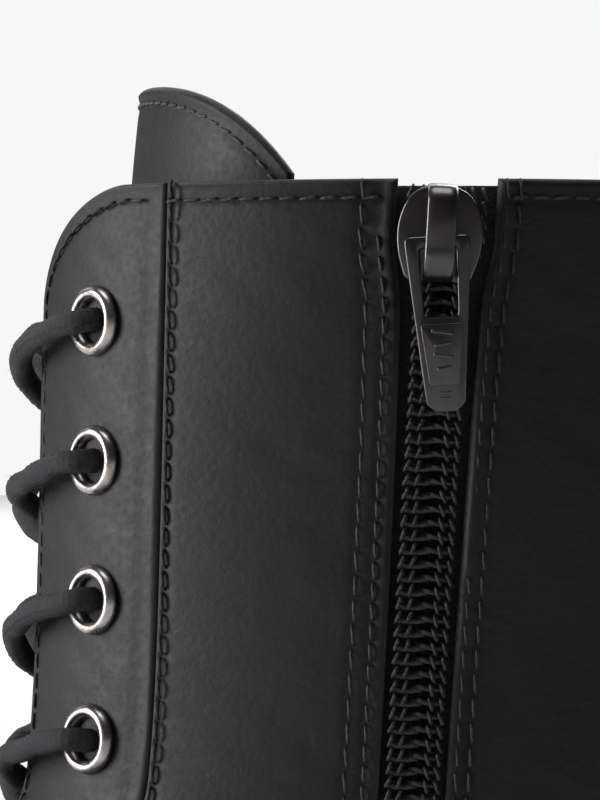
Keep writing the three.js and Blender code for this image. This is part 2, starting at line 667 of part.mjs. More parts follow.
// A flat shape drawn as (up, out), centred across.
function edgePlate(shape, width) {
  const geometry = new THREE.ExtrudeGeometry(shape, { depth: width, bevelEnabled: false, curveSegments: 4 });
  const turned = new THREE.Matrix4().makeBasis(
    new THREE.Vector3(0, 0, 1), new THREE.Vector3(1, 0, 0), new THREE.Vector3(0, 1, 0));
  return geometry.applyMatrix4(turned.setPosition(0, -width / 2, 0));
}
const polygon = (points) => new THREE.Shape(points.map(([x, y]) => new THREE.Vector2(x, y)));

const neck = { half: 1.4, low: -1, high: 5.5 };
const crown = { width: 4.1, out: 5.3, pivot: 2.9, pin: 0.65 };
const shieldOut = 0.4;
const chainLow = zipBottom - zipHeight;

function buildZip() {
  const teeth = (side) => {
    const shift = profile([chainLow, 0], [neck.low - 4, 0], [neck.low, 1.75], [neck.high, 1.75]);
    const levels = [chainLow, neck.low - 4, neck.low - 2.7, neck.low - 1.3, neck.low, sliderLength / 2 - gap];
    return loft(levels.map((z) => {
      const inner = gap / 2 + shift(z);
      const outer = chainHalf + Math.min(shift(z), 1.6);
      return [[-chainThick + 0.3, inner], [0.3, inner], [0.3, outer], [-chainThick + 0.3, outer]]
        .map(([x, y]) => new THREE.Vector3(x, side * y, z));
    }));
  };
  add('zip_chain_front', teeth(-1), black.textile, zipFrame);
  add('zip_chain_rear', teeth(1), black.textile, zipFrame);

  const tapeGap = profile([zipHeight - 9, 0.5], [zipHeight - 3, 2.6], [toplineHeight, 2.6]);
  const tapeEdge = (height) => (height < zipHeight - 9 ? 0.5 : tapeGap(height));
  const atZip = (side, offset) => (height) => turnAtY(zipY(height) + side * offset(height), height);
  const wide = () => tapeHalf;
  const tapeRows = [
    ...spread(zipBottom - 5, zipHeight - 9, 6), zipHeight - 6, zipHeight - 3, toplineHeight - 1,
  ];
  add('zip_tape_front', panel(atZip(-1, wide), atZip(-1, tapeEdge), tapeRows, 2, tapeDepth, tapeThick),
    black.textile);
  add('zip_tape_rear', panel(atZip(1, tapeEdge), atZip(1, wide), tapeRows, 2, tapeDepth, tapeThick),
    black.textile);
  const guardEdge = () => guardHalf;
  add('zip_guard', panel(atZip(-1, guardEdge), atZip(1, guardEdge), tapeRows, 5, guardDepth, guardThick),
    black.leather);
  const stop = polygon([[-3.4, -3], [3.4, -3], [3.4, 0], [-3.4, 0]]);
  const clip = facePlate(stop, -chainThick + 0.3, chainThick).translate(0, 0, chainLow - gap);
  add('zip_bottom_stop', clip, gunmetal, zipFrame);
}

function buildSlider() {
  const half = sliderWidth / 2;
  const top = sliderLength / 2;
  const shield = new THREE.Shape();
  shield.moveTo(-half + 1.6, -top);
  shield.lineTo(half - 1.6, -top);
  shield.lineTo(half, -top + 4);
  shield.lineTo(half, top - 5);
  shield.quadraticCurveTo(half, top, 0, top);
  shield.quadraticCurveTo(-half, top, -half, top - 5);
  shield.lineTo(-half, -top + 4);
  const back = -(tapeDepth + tapeThick + 0.4 + sliderPlate);
  const outer = facePlate(shield, shieldOut, sliderPlate);
  const inner = facePlate(shield, back, sliderPlate);
  const wedge = polygon([
    [0, neck.low], [neck.half, neck.low + 2], [neck.half, neck.high],
    [-neck.half, neck.high], [-neck.half, neck.low + 2],
  ]);
  const post = facePlate(wedge, back + 0.5, shieldOut - back);
  const rise = shieldOut + sliderPlate;
  const arch = polygon([
    [-top, rise - 0.4], [-top, rise + 1], [-top + 3, crown.out - 0.3], [-top + 5, crown.out],
    [top - 4, crown.out], [top - 1.5, crown.out - 0.8], [top, rise + 1], [top, rise - 0.4],
  ]);
  const roof = crown.pivot + crown.pin + 0.35;
  const eye = polygon([[-top + 2, rise + 0.1], [-top + 3.4, roof], [top - 3.4, roof], [top - 2, rise + 0.1]]);
  const bridge = cut(edgePlate(arch, crown.width), edgePlate(eye, 2 * crown.width));
  add('zip_slider', join(outer, inner, post, bridge), black.enamel, zipFrame);
}

function buildPuller() {
  const wide = { shoulder: 4.6, foot: 2.45, window: 2.55 };
  const plate = new THREE.Shape();
  plate.moveTo(-wide.shoulder, 0.5);
  plate.lineTo(-wide.foot, -pullerLength + 1.8);
  plate.quadraticCurveTo(-wide.foot, -pullerLength + 0.8, 0, -pullerLength + 0.8);
  plate.quadraticCurveTo(wide.foot, -pullerLength + 0.8, wide.foot, -pullerLength + 1.8);
  plate.lineTo(wide.shoulder, 0.5);
  plate.lineTo(wide.shoulder - 0.5, 0.8);
  plate.lineTo(-wide.shoulder + 0.5, 0.8);
  const windowEnd = -10.2;
  const window = polygon([
    [-wide.window, 1.5], [wide.window, 1.5], [wide.window - 0.2, windowEnd], [-wide.window + 0.2, windowEnd],
  ]);
  const thick = 1.6;
  const flat = facePlate(plate, crown.pivot - thick / 2, thick);
  const hole = facePlate(window, crown.pivot - thick, 2 * thick);
  const pin = new THREE.CylinderGeometry(crown.pin, crown.pin, 2 * wide.window + 1, 10);
  pin.translate(crown.pivot, 0, 0);
  add('zip_puller', join(cut(flat, hole), pin), black.enamel, zipFrame);
}

buildSole();
buildUpper();
buildFacings();
buildTongue();
buildLace();
buildZip();
buildSlider();
buildPuller();

// The ball of the foot is set towards the inner side, so the boot is moved to stand centred on the origin.
boot.position.x = -new THREE.Box3().setFromObject(boot).getCenter(new THREE.Vector3()).x;

export default boot;
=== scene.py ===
# A leather fire boot: its looks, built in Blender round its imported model.
# Lengths are millimetres until a mesh is made.
import math
import random
import bpy
import numpy as np
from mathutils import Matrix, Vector


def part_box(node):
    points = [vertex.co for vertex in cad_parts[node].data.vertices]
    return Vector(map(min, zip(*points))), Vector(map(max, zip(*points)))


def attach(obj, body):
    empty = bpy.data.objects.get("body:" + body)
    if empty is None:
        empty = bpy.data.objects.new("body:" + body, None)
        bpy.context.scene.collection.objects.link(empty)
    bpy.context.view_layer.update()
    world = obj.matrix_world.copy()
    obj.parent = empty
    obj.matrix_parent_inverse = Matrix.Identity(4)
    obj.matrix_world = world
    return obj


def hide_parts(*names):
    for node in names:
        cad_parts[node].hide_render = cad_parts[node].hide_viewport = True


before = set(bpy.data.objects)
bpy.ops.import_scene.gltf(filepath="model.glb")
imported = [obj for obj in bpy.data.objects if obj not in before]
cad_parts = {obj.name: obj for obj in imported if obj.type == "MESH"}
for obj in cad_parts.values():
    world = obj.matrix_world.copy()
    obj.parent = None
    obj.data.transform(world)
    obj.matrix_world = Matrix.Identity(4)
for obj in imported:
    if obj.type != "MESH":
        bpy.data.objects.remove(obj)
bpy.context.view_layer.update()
mm = 0.001
print("boot: model loaded,", len(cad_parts), "parts")

# The sizes of the upper, as it was cut.
boot = {
    "toeY": -146.0,
    "heelY": 146.0,
    "shaftY": 84.0,
    "shaftFront": 26.5,
    "shaftBack": 141.5,
    "topline": 240.0,
    "ankle": 105.0,
    "throat": 92.0,
    "throatY": -47.5,
    "feather": 30.0,
    "openingHalf": 8.0,
    "facingTop": 26.2,
    "facingLow": 21.8,
    "cornerWide": 20.0,
    "cornerHigh": 16.0,
    "eyeletIn": 16.8,
    "facing": 3.2,
    "seam": 0.0022,
    "stayHalf": 12.0,
}


def midX(*names):
    boxes = [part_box(name) for name in names]
    return (min(low.x for low, high in boxes) + max(high.x for low, high in boxes)) / 2


# The boot stands centred by its widest part, so the line of its shaft is a little off the middle.
shift = midX("medial_eyelet_1", "lateral_eyelet_1")


def profile(*points):
    # A smooth line through (place, value) pairs, straight on past its ends.
    at = np.array([point[0] for point in points], float)
    value = np.array([point[1] for point in points], float)
    slopes = np.diff(value) / np.diff(at)
    before = np.concatenate([slopes[:1], slopes])
    after = np.concatenate([slopes, slopes[-1:]])
    same = before * after > 0
    tangent = np.where(same, 2 * before * after / np.where(same, before + after, 1), 0)

    def line(x):
        x = np.asarray(x, float)
        i = np.clip(np.searchsorted(at, x, side="right") - 1, 0, len(at) - 2)
        span = at[i + 1] - at[i]
        t = (x - at[i]) / span
        s = 1 - t
        inside = value[i] * s * s * (1 + 2 * t) + value[i + 1] * t * t * (1 + 2 * s)
        inside = inside + span * t * s * (tangent[i] * s - tangent[i + 1] * t)
        low = value[0] + tangent[0] * (x - at[0])
        high = value[-1] + tangent[-1] * (x - at[-1])
        return np.where(x <= at[0], low, np.where(x >= at[-1], high, inside))

    return line


def lerp(a, b, share):
    return a + (b - a) * share


def smoothstep(x, low, high):
    t = np.clip((np.asarray(x, float) - low) / (high - low), 0, 1)
    return t * t * (3 - 2 * t)


def upFoot(share):
    return lerp(boot["feather"], boot["throat"], share)


def upShaft(share):
    return lerp(boot["ankle"], boot["topline"], share)


toeY, heelY = boot["toeY"], boot["heelY"]
shaftFront, shaftBack = boot["shaftFront"], boot["shaftBack"]
throatHeight, toplineHeight, featherHeight = boot["throat"], boot["topline"], boot["feather"]

# Front and back of the upper at each height, and how round both ends are.
frontLine = profile(
    (upFoot(0), toeY), (upFoot(0.17), toeY - 1), (upFoot(0.36), toeY + 5), (upFoot(0.52), toeY + 24),
    (upFoot(0.75), toeY + 62), (throatHeight, boot["throatY"]), (upShaft(0), shaftFront - 54),
    (upShaft(0.23), shaftFront - 14), (upShaft(0.38), shaftFront - 3), (upShaft(0.6), shaftFront - 1.2),
    (toplineHeight, shaftFront),
)
backLine = profile(
    (upFoot(0), heelY), (upFoot(0.25), heelY + 2), (upFoot(0.6), heelY + 1.5), (upShaft(0), heelY - 6),
    (upShaft(0.25), shaftBack - 7), (upShaft(0.5), shaftBack - 5), (toplineHeight, shaftBack),
)
frontRound = profile((featherHeight, 48), (throatHeight, 54), (toplineHeight, 57.5))
backRound = profile((featherHeight, 38), (boot["ankle"], 42), (toplineHeight, 57.5))
toeTurn = profile((toeY, 7), (toeY + 60, 4), (toeY + 130, 0), (heelY, 0))
featherAt = profile((toeY, 26), (toeY + 72, 18), (toeY + 165, 26), (toeY + 205, 30), (heelY, 30))


def shaftHalf(height):
    return 39.5 + (height - boot["ankle"]) * 6.5 / 135


footExtra = profile(
    (toeY, 9), (toeY + 36, 13), (toeY + 72, 51.5 - shaftHalf(featherHeight)), (toeY + 118, 7),
    (toeY + 160, 0), (heelY, (36 - shaftHalf(featherHeight)) * 0.1),
)


def footFade(height):
    return 1 - smoothstep(height, featherHeight, boot["ankle"] + 12)


def settle(y, height):
    return (featherAt(y) - featherHeight) * footFade(height)


def outline(height, reach=0.0):
    front = frontLine(height) - reach
    back = backLine(height) + reach
    middle = (back - front) / 2
    nose = np.minimum(frontRound(height) + reach, middle)
    return front, back, nose, np.minimum(backRound(height) + reach, middle)


def yAtTurn(turn, height, reach=0.0):
    front, back, nose, tail = outline(height, reach)
    ahead = front + nose * (1 - np.cos(turn * math.pi / 2))
    beside = lerp(front + nose, back - tail, turn - 1)
    behind = back - tail * (1 - np.cos((3 - turn) * math.pi / 2))
    return np.where(turn <= 1, ahead, np.where(turn <= 2, beside, behind))


def turnAtY(y, height, reach=0.0):
    front, back, nose, tail = outline(height, reach)
    y = np.clip(y, front, back)
    ahead = np.arccos(np.clip(1 - (y - front) / nose, -1, 1)) * 2 / math.pi
    behind = 3 - np.arccos(np.clip(1 - (back - y) / tail, -1, 1)) * 2 / math.pi
    beside = 1 + (y - front - nose) / np.maximum(back - tail - front - nose, 1e-6)
    return np.where(y < front + nose, ahead, np.where(y > back - tail, behind, beside))


def roundness(turn):
    return np.sin(np.minimum(np.minimum(turn, 3 - turn), 1) * math.pi / 2)


def halfWidth(y, height):
    return shaftHalf(height) + footExtra(y) * footFade(height)


def turnAtX(x, height):
    return np.arcsin(np.minimum(x / halfWidth(frontLine(height), height), 1)) * 2 / math.pi


def turnAtBackX(x, height):
    return 3 - np.arcsin(x / halfWidth(backLine(height), height)) * 2 / math.pi


def upper(turn, height):
    # The outside of the leather. Turn 0 is the front, 1 to 2 the straight side and 3 the back.
    turn, height = np.broadcast_arrays(np.asarray(turn, float), np.asarray(height, float))
    turn = np.where(np.abs(turn) > 3, turn - 6 * np.sign(turn), turn)
    side = np.where(turn < 0, -1.0, 1.0)
    along = np.abs(turn)
    y = yAtTurn(along, height)
    x = toeTurn(y) * footFade(height) + side * halfWidth(y, height) * roundness(along)
    return np.stack([x, y, height + settle(y, height)], -1)


def outward(surface, p, q, nudge=1e-3):
    p, q = np.broadcast_arrays(np.asarray(p, float), np.asarray(q, float))
    across = surface(p + nudge, q) - surface(p - nudge, q)
    up = surface(p, q + nudge) - surface(p, q - nudge)
    normal = np.cross(across, up)
    return normal / np.maximum(np.linalg.norm(normal, axis=-1, keepdims=True), 1e-12)


def under(surface, p, q, depth):
    return surface(p, q) - outward(surface, p, q) * np.asarray(depth, float)[..., None]


# Where the upper is cut.
def facingBack(height):
    share = (height - throatHeight) / (toplineHeight - throatHeight)
    return turnAtX(boot["openingHalf"] + lerp(boot["facingLow"], boot["facingTop"], share), height)


throatSide = float(yAtTurn(facingBack(throatHeight), throatHeight))
vampSeamY = profile(
    (featherHeight, shaftFront - 20), (upFoot(0.5), shaftFront - 32), (throatHeight, throatSide),
)


def quarterFront(height):
    height = np.asarray(height, float)
    return np.where(height < throatHeight, turnAtY(vampSeamY(height), height), facingBack(height))


zipLine = {"lean": 0.0585, "aft": 1.0, "slotLow": 62.0, "bottom": 74.0, "tapeDepth": 3.0, "tapeHalf": 16.0}
slotProfile = profile((62, 0.15), (68, 4.65), (157, 4.65), (190, 4.9), (222, 5.6), (232, 6.9), (240, 7))


def zipY(height):
    return boot["shaftY"] + zipLine["aft"] - (toplineHeight - height) * zipLine["lean"]


def slotHalf(height):
    return np.where(np.asarray(height) < zipLine["slotLow"], 0.15, slotProfile(height))


def cornerDrop(distance):
    inside = np.maximum(1 - distance / boot["cornerWide"], 0)
    return boot["cornerHigh"] * (1 - (1 - inside**1.5) ** (2 / 3))


def liningDepth(height):
    return lerp(5.5, 3.0, smoothstep(height, upFoot(0.9), boot["ankle"] + 8))


def makeMesh(name, points, faces, finish, uv=None, smooth=True, edge=None):
    mesh = bpy.data.meshes.new(name)
    places = (np.asarray(points, float) + np.array([shift / mm, 0, 0])) * mm
    mesh.from_pydata([tuple(place) for place in places], [], faces)
    mesh.polygons.foreach_set("use_smooth", [smooth] * len(mesh.polygons))
    if uv is not None:
        corner = np.zeros(len(mesh.loops), np.int32)
        mesh.loops.foreach_get("vertex_index", corner)
        layer = mesh.uv_layers.new(name="UVMap")
        layer.data.foreach_set("uv", np.asarray(uv, float)[corner].astype(np.float32).ravel())
    if edge is not None:
        rim = mesh.attributes.new("rim", "FLOAT", "POINT")
        rim.data.foreach_set("value", np.asarray(edge, np.float32).ravel())
    mesh.materials.append(finish)
    mesh.update()
    piece = bpy.data.objects.new(name, mesh)
    bpy.context.scene.collection.objects.link(piece)
    return piece


def settlePiece(piece, slot, *nodes, body="boot"):
    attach(piece, body)
    if nodes:
        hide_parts(*nodes)
    return piece


def dress(node, finish):
    # A part of the model that is seen as it is, in a finish of its own.
    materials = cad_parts[node].data.materials
    materials.clear()
    materials.append(finish)


def steps(width, step, lip):
    # Shares across a width, close together at both edges so that the edge can be rounded.
    rim = np.array([0, 0.06, 0.2, 0.42, 0.7, 1.0, 1.5]) * lip
    count = max(int((width - 2 * rim[-1]) / step), 1)
    middle = np.linspace(rim[-1], width - rim[-1], count + 1)[1:-1]
    return np.concatenate([rim, middle, (width - rim)[::-1]]) / width


def closedSheet(rows, columns):
    # The faces of a sheet whose outer points come first and whose inner points follow.
    grid = np.arange(rows * columns).reshape(rows, columns)
    back = grid + rows * columns
    sets = [
        (grid[:-1, :-1], grid[:-1, 1:], grid[1:, 1:], grid[1:, :-1]),
        (back[:-1, :-1], back[1:, :-1], back[1:, 1:], back[:-1, 1:]),
        (grid[0, :-1], back[0, :-1], back[0, 1:], grid[0, 1:]),
        (grid[-1, :-1], grid[-1, 1:], back[-1, 1:], back[-1, :-1]),
        (grid[:-1, 0], grid[1:, 0], back[1:, 0], back[:-1, 0]),
        (grid[:-1, -1], back[:-1, -1], back[1:, -1], grid[1:, -1]),
    ]
    return np.concatenate([np.stack([corner.ravel() for corner in corners], -1) for corners in sets])


def skin(name, finish, surface, place, size, step, depth=0.0, thick=2.0, lip=0.9, relief=None):
    # A closed sheet of leather or cloth on a surface, its edges rounded over.
    # place(a, b) gives the surface's own two values at shares a and b of the sheet.
    a, b = np.meshgrid(steps(size[0], step, lip), steps(size[1], step, lip))
    p, q = place(a, b)
    base = surface(p, q)
    out = outward(surface, p, q)

    def run(axis):
        span = np.linalg.norm(np.diff(base, axis=axis), axis=-1)
        start = np.zeros_like(span[:1] if axis == 0 else span[:, :1])
        return np.concatenate([start, np.cumsum(span, axis)], axis)

    left, low = run(1), run(0)
    right, high = left[:, -1:] - left, low[-1:] - low
    edge = np.minimum(np.minimum(left, right), np.minimum(low, high))
    near = lip - np.minimum(edge, lip)
    drop = lip - np.sqrt(np.maximum(lip * lip - near * near, 0))
    field = {"p": p, "q": q, "x": base[..., 0], "y": base[..., 1], "z": base[..., 2],
             "left": left, "right": right, "low": low, "high": high, "edge": edge}
    raised = relief(field) if relief else 0.0
    fade = np.clip(edge / 0.8, 0, 1)
    depthAt = depth(q) if callable(depth) else depth
    outer = base + out * (raised * fade - depthAt - drop)[..., None]
    inner = base - out * (depthAt + thick - 0.6 * drop)[..., None]
    points = np.concatenate([outer.reshape(-1, 3), inner.reshape(-1, 3)])
    quads = closedSheet(*a.shape)
    uv = np.stack([left, low], -1).reshape(-1, 2) * mm
    wear = np.concatenate([np.exp(-edge.ravel() / 0.7), np.zeros(edge.size)])
    return makeMesh(name, points, quads.tolist(), finish, np.concatenate([uv, uv]), edge=wear)


def tubeParts(points, radius, sides=10, up=None):
    # A bar of round section through points. radius may change from ring to ring and round each ring.
    points = np.asarray(points, float)
    along = np.gradient(points, axis=0)
    along /= np.maximum(np.linalg.norm(along, axis=1, keepdims=True), 1e-12)
    side = np.cross(along[0], up if up is not None else (0.31, 0.52, 0.79))
    side /= np.linalg.norm(side)
    sideways = [side]
    for direction in along[1:]:
        side = side - direction * np.dot(side, direction)
        side = side / np.linalg.norm(side)
        sideways.append(side)
    sideways = np.array(sideways)
    other = np.cross(along, sideways)
    turn = np.linspace(0, 2 * math.pi, sides, endpoint=False)
    reach = np.asarray(radius, float)
    if reach.ndim == 1:
        reach = reach[:, None]
    reach = np.broadcast_to(reach, (len(points), sides))
    ring = sideways[:, None] * np.cos(turn)[None, :, None] + other[:, None] * np.sin(turn)[None, :, None]
    places = points[:, None] + ring * reach[..., None]
    faces = []
    count = len(points)
    for j in range(count - 1):
        for i in range(sides):
            k = (i + 1) % sides
            faces.append((j * sides + i, j * sides + k, (j + 1) * sides + k, (j + 1) * sides + i))
    faces.append(tuple(reversed(range(sides))))
    faces.append(tuple((count - 1) * sides + i for i in range(sides)))
    length = np.concatenate([[0], np.cumsum(np.linalg.norm(np.diff(points, axis=0), axis=1))])
    uv = np.stack(np.broadcast_arrays(length[:, None] * mm, (turn / (2 * math.pi))[None]), -1)
    return places.reshape(-1, 3), faces, uv.reshape(-1, 2)


def joined(parts):
    # Several (points, faces) lists as one.
    points, faces, uvs, start = [], [], [], 0
    for part in parts:
        points.append(np.asarray(part[0], float))
        faces += [tuple(i + start for i in face) for face in part[1]]
        uvs.append(part[2] if len(part) > 2 else np.zeros((len(part[0]), 2)))
        start += len(part[0])
    return np.concatenate(points), faces, np.concatenate(uvs)


def curveThrough(points, spacing):
    # A centripetal Catmull-Rom line through points, sampled at an even spacing.
    points = np.asarray(points, float)
    padded = np.concatenate([[2 * points[0] - points[1]], points, [2 * points[-1] - points[-2]]])
    found = []
    for i in range(len(points) - 1):
        p0, p1, p2, p3 = padded[i:i + 4]
        t = [0.0]
        for a, b in ((p0, p1), (p1, p2), (p2, p3)):
            t.append(t[-1] + max(np.linalg.norm(b - a), 1e-6) ** 0.5)
        count = max(int(np.linalg.norm(p2 - p1) / 0.1), 2)
        for u in np.linspace(t[1], t[2], count, endpoint=False):
            a1 = p0 + (p1 - p0) * (u - t[0]) / (t[1] - t[0])
            a2 = p1 + (p2 - p1) * (u - t[1]) / (t[2] - t[1])
            a3 = p2 + (p3 - p2) * (u - t[2]) / (t[3] - t[2])
            b1 = a1 + (a2 - a1) * (u - t[0]) / (t[2] - t[0])
            b2 = a2 + (a3 - a2) * (u - t[1]) / (t[3] - t[1])
            found.append(b1 + (b2 - b1) * (u - t[1]) / (t[2] - t[1]))
    found = np.array(found + [points[-1]])
    length = np.concatenate([[0], np.cumsum(np.linalg.norm(np.diff(found, axis=0), axis=1))])
    even = np.arange(0, length[-1], spacing)
    return np.stack([np.interp(even, length, found[:, k]) for k in range(3)], -1)


class Wire:
    # One output of a node. The usual operators add Math nodes to it.
    def __init__(self, maker, socket):
        self.maker = maker
        self.socket = socket

    def maths(self, operation, *values):
        return self.maker.node("ShaderNodeMath", {"operation": operation}, dict(enumerate(values)))

    def __add__(self, other):
        return self.maths("ADD", self, other)

    def __radd__(self, other):
        return self.maths("ADD", other, self)

    def __sub__(self, other):
        return self.maths("SUBTRACT", self, other)

    def __rsub__(self, other):
        return self.maths("SUBTRACT", other, self)

    def __mul__(self, other):
        return self.maths("MULTIPLY", self, other)

    def __rmul__(self, other):
        return self.maths("MULTIPLY", other, self)

    def sine(self):
        return self.maths("SINE", self)

    def size(self):
        return self.maths("ABSOLUTE", self)

    def most(self, other):
        return self.maths("MAXIMUM", self, other)

    def above(self, low, high):
        # 0 below low, 1 above high, smooth between them.
        settings = {"interpolation_type": "SMOOTHSTEP"}
        inputs = {"Value": self, "From Min": low, "From Max": high}
        return self.maker.node("ShaderNodeMapRange", settings, inputs)


class Finish:
    # A material being built, round one Principled shader.
    def __init__(self, name, **sockets):
        self.material = bpy.data.materials.new(name)
        self.material.use_nodes = True
        self.tree = self.material.node_tree
        self.shader = self.tree.nodes["Principled BSDF"]
        self.place = self.node("ShaderNodeTexCoord", {}, {}, "Object")
        for socket, value in sockets.items():
            self.shader.inputs[socket.replace("_", " ")].default_value = value

    def node(self, kind, settings, inputs, output=0):
        node = self.tree.nodes.new(kind)
        for name, value in settings.items():
            if name == "stops":
                self.setStops(node.color_ramp, value)
            else:
                setattr(node, name, value)
        for name, value in inputs.items():
            self.link(node.inputs[name], value)
        return Wire(self, node.outputs[output])

    def link(self, socket, value):
        if isinstance(value, Wire):
            self.tree.links.new(value.socket, socket)
        else:
            socket.default_value = value

    def setStops(self, ramp, stops):
        while len(ramp.elements) < len(stops):
            ramp.elements.new(1.0)
        for element, (at, colour) in zip(ramp.elements, stops):
            element.position = at
            element.color = colour

    def feed(self, **sockets):
        for socket, value in sockets.items():
            self.link(self.shader.inputs[socket.replace("_", " ")], value)

    def mix(self, share, a, b):
        settings = {"data_type": "RGBA", "clamp_factor": True}
        return self.node("ShaderNodeMix", settings, {0: share, 6: a, 7: b}, 2)

    def scaled(self, scale, turn=(0, 0, 0)):
        inputs = {"Vector": self.place, "Scale": scale, "Rotation": turn}
        return self.node("ShaderNodeMapping", {}, inputs)

    def noise(self, scale, detail=3.0, roughness=0.55, source=None):
        inputs = {"Vector": source or self.place, "Scale": scale}
        inputs.update({"Detail": detail, "Roughness": roughness})
        return self.node("ShaderNodeTexNoise", {}, inputs)

    def cells(self, scale, feature="F1"):
        inputs = {"Vector": self.place, "Scale": scale, "Randomness": 1.0}
        return self.node("ShaderNodeTexVoronoi", {"feature": feature}, inputs)

    def attribute(self, name):
        return self.node("ShaderNodeAttribute", {"attribute_name": name}, {}, "Fac")

    def axes(self, source=None):
        split = self.node("ShaderNodeSeparateXYZ", {}, {0: source or self.place})
        return [Wire(self, output) for output in split.socket.node.outputs]

    def bump(self, height, distance, strength=1.0, normal=None):
        inputs = {"Height": height, "Distance": distance, "Strength": strength}
        if normal is not None:
            inputs["Normal"] = normal
        return self.node("ShaderNodeBump", {}, inputs)


def grey(level, warm=0.0, cool=0.0):
    return (level * (1 + warm), level, level * (1 + cool), 1.0)


leatherLook = {
    "deep": grey(0.0026, 0.0, 0.1),
    "lit": grey(0.0056, 0.02, 0.1),
    "edge": grey(0.045, 0.03, 0.04),
    "grain": 1050.0,
    "pore": 2600.0,
}


def leatherFinish():
    look = leatherLook
    m = Finish("boot_leather", Specular_IOR_Level=0.27)
    rim = m.attribute("rim")
    broad = m.noise(38, 4, 0.6)
    mottled = m.noise(310, 5, 0.65)
    pebble = m.cells(look["grain"], "SMOOTH_F1")
    pores = m.cells(look["pore"])
    stretched = m.noise(1.0, 4, 0.6, m.scaled((60, 95, 300), (0.6, 0.0, 0.0)))
    creased = m.noise(1.0, 3, 0.5, m.scaled((90, 210, 620), (-0.75, 0.0, 0.0)))
    base = m.mix(broad.above(0.35, 0.72) * 0.7 + mottled.above(0.45, 0.7) * 0.3, look["deep"], look["lit"])
    worn = (rim * (0.55 + mottled)).above(0.35, 1.05)
    scuff = creased.above(0.66, 0.8) * broad.above(0.5, 0.62)
    base = m.mix(scuff * 0.12, base, look["edge"])
    colour = m.mix(worn * 0.75, base, look["edge"])
    rough = 0.43 + 0.16 * mottled + 0.12 * (1 - pebble) + 0.1 * worn
    fine = m.bump(pebble + 0.35 * pores, 0.00009, 0.5)
    wrinkle = m.bump(stretched + 0.6 * creased, 0.0006, 0.16, fine)
    m.feed(Base_Color=colour, Roughness=rough, Normal=wrinkle)
    return m.material


def fleshFinish():
    # The raw side of a cut leather edge.
    m = Finish("cut_edge", Specular_IOR_Level=0.3)
    fibres = m.noise(1.0, 5, 0.7, m.scaled((900, 900, 2600)))
    m.feed(Base_Color=m.mix(fibres, grey(0.02, 0.03), grey(0.085, 0.03)), Roughness=0.72 + 0.2 * fibres,
           Normal=m.bump(fibres, 0.0003, 0.8))
    return m.material


def threadFinish(name, low, high, turns=5200.0):
    # Twisted thread: fine slanted ridges, painted a little lighter where they stand up as a painted
    # highlight.
    m = Finish(name, Specular_IOR_Level=0.4)
    x, y, z = m.axes()
    twist = ((x + y * 0.7 + z * 0.85) * turns).sine() * 0.5 + 0.5
    fluff = m.noise(2600, 4, 0.7)
    # The colour follows the twist ridges: a painted highlight on their raised parts.
    m.feed(Base_Color=m.mix(twist * 0.6 + fluff * 0.4, low, high), Roughness=0.5 + 0.3 * fluff,
           Normal=m.bump(twist + 0.5 * fluff, 0.00009, 0.7))
    return m.material


def rubberFinish():
    m = Finish("sole_rubber", Specular_IOR_Level=0.35)
    speck = m.noise(1500, 4, 0.7)
    broad = m.noise(45, 4, 0.6)
    rub = m.noise(1.0, 3, 0.6, m.scaled((160, 160, 900)))
    tone = broad.above(0.3, 0.75) * 0.6 + rub.above(0.55, 0.8) * 0.4
    m.feed(Base_Color=m.mix(tone, grey(0.011), grey(0.03)),
           Roughness=0.62 + 0.25 * speck, Normal=m.bump(speck + 0.6 * rub, 0.00025, 0.5))
    return m.material


def metalFinish(name, low, high, rough=0.27):
    m = Finish(name, Metallic=1.0)
    smear = m.noise(520, 4, 0.65)
    scratch = m.noise(1.0, 2, 0.5, m.scaled((700, 700, 5200), (0.5, 0.2, 0.0)))
    m.feed(Base_Color=m.mix(smear.above(0.3, 0.7), low, high),
           Roughness=rough + 0.14 * smear + 0.1 * scratch.above(0.55, 0.7),
           Normal=m.bump(scratch * 0.6 + smear, 0.00003, 0.35))
    return m.material


def enamelFinish():
    # Black enamel on a casting, rubbed a little through to brown along its edges.
    m = Finish("black_enamel", Specular_IOR_Level=0.5, Coat_Weight=0.5, Coat_Roughness=0.06)
    wavy = m.noise(240, 3, 0.5)
    specks = m.noise(2100, 3, 0.7)
    rim = m.attribute("rim")
    colour = m.mix(wavy.above(0.35, 0.7), grey(0.003, 0.3, -0.05), grey(0.008, 0.55, -0.1))
    worn = (rim * (0.5 + specks)).above(0.45, 1.0)
    m.feed(Base_Color=m.mix(worn * 0.7, colour, grey(0.07, 0.15, -0.08)),
           Roughness=0.2 + 0.12 * wavy + 0.15 * specks, Normal=m.bump(wavy + 0.12 * specks, 0.0002, 0.45))
    return m.material


def braidFinish():
    # The yarns of the round braid stand in the mesh, and each yarn's own filaments are in the finish.
    m = Finish("lace_braid", Specular_IOR_Level=0.3)
    along = m.node("ShaderNodeUVMap", {"uv_map": "UVMap"}, {})
    u, v, _ = m.axes(along)
    left = ((u * 1450 + v * 2 * math.pi * 16) * 3.0).sine() * 0.5 + 0.5
    right = ((u * 1450 - v * 2 * math.pi * 16) * 3.0).sine() * 0.5 + 0.5
    fluff = m.noise(2400, 5, 0.75)
    tone = left.most(right) * 0.45 + fluff * 0.55
    m.feed(Base_Color=m.mix(tone.above(0.25, 0.85), grey(0.0035, 0.0, 0.12), grey(0.026, 0.0, 0.15)),
           Roughness=0.62 + 0.25 * fluff, Normal=m.bump(left * right + fluff * 0.8, 0.00012, 0.7))
    return m.material


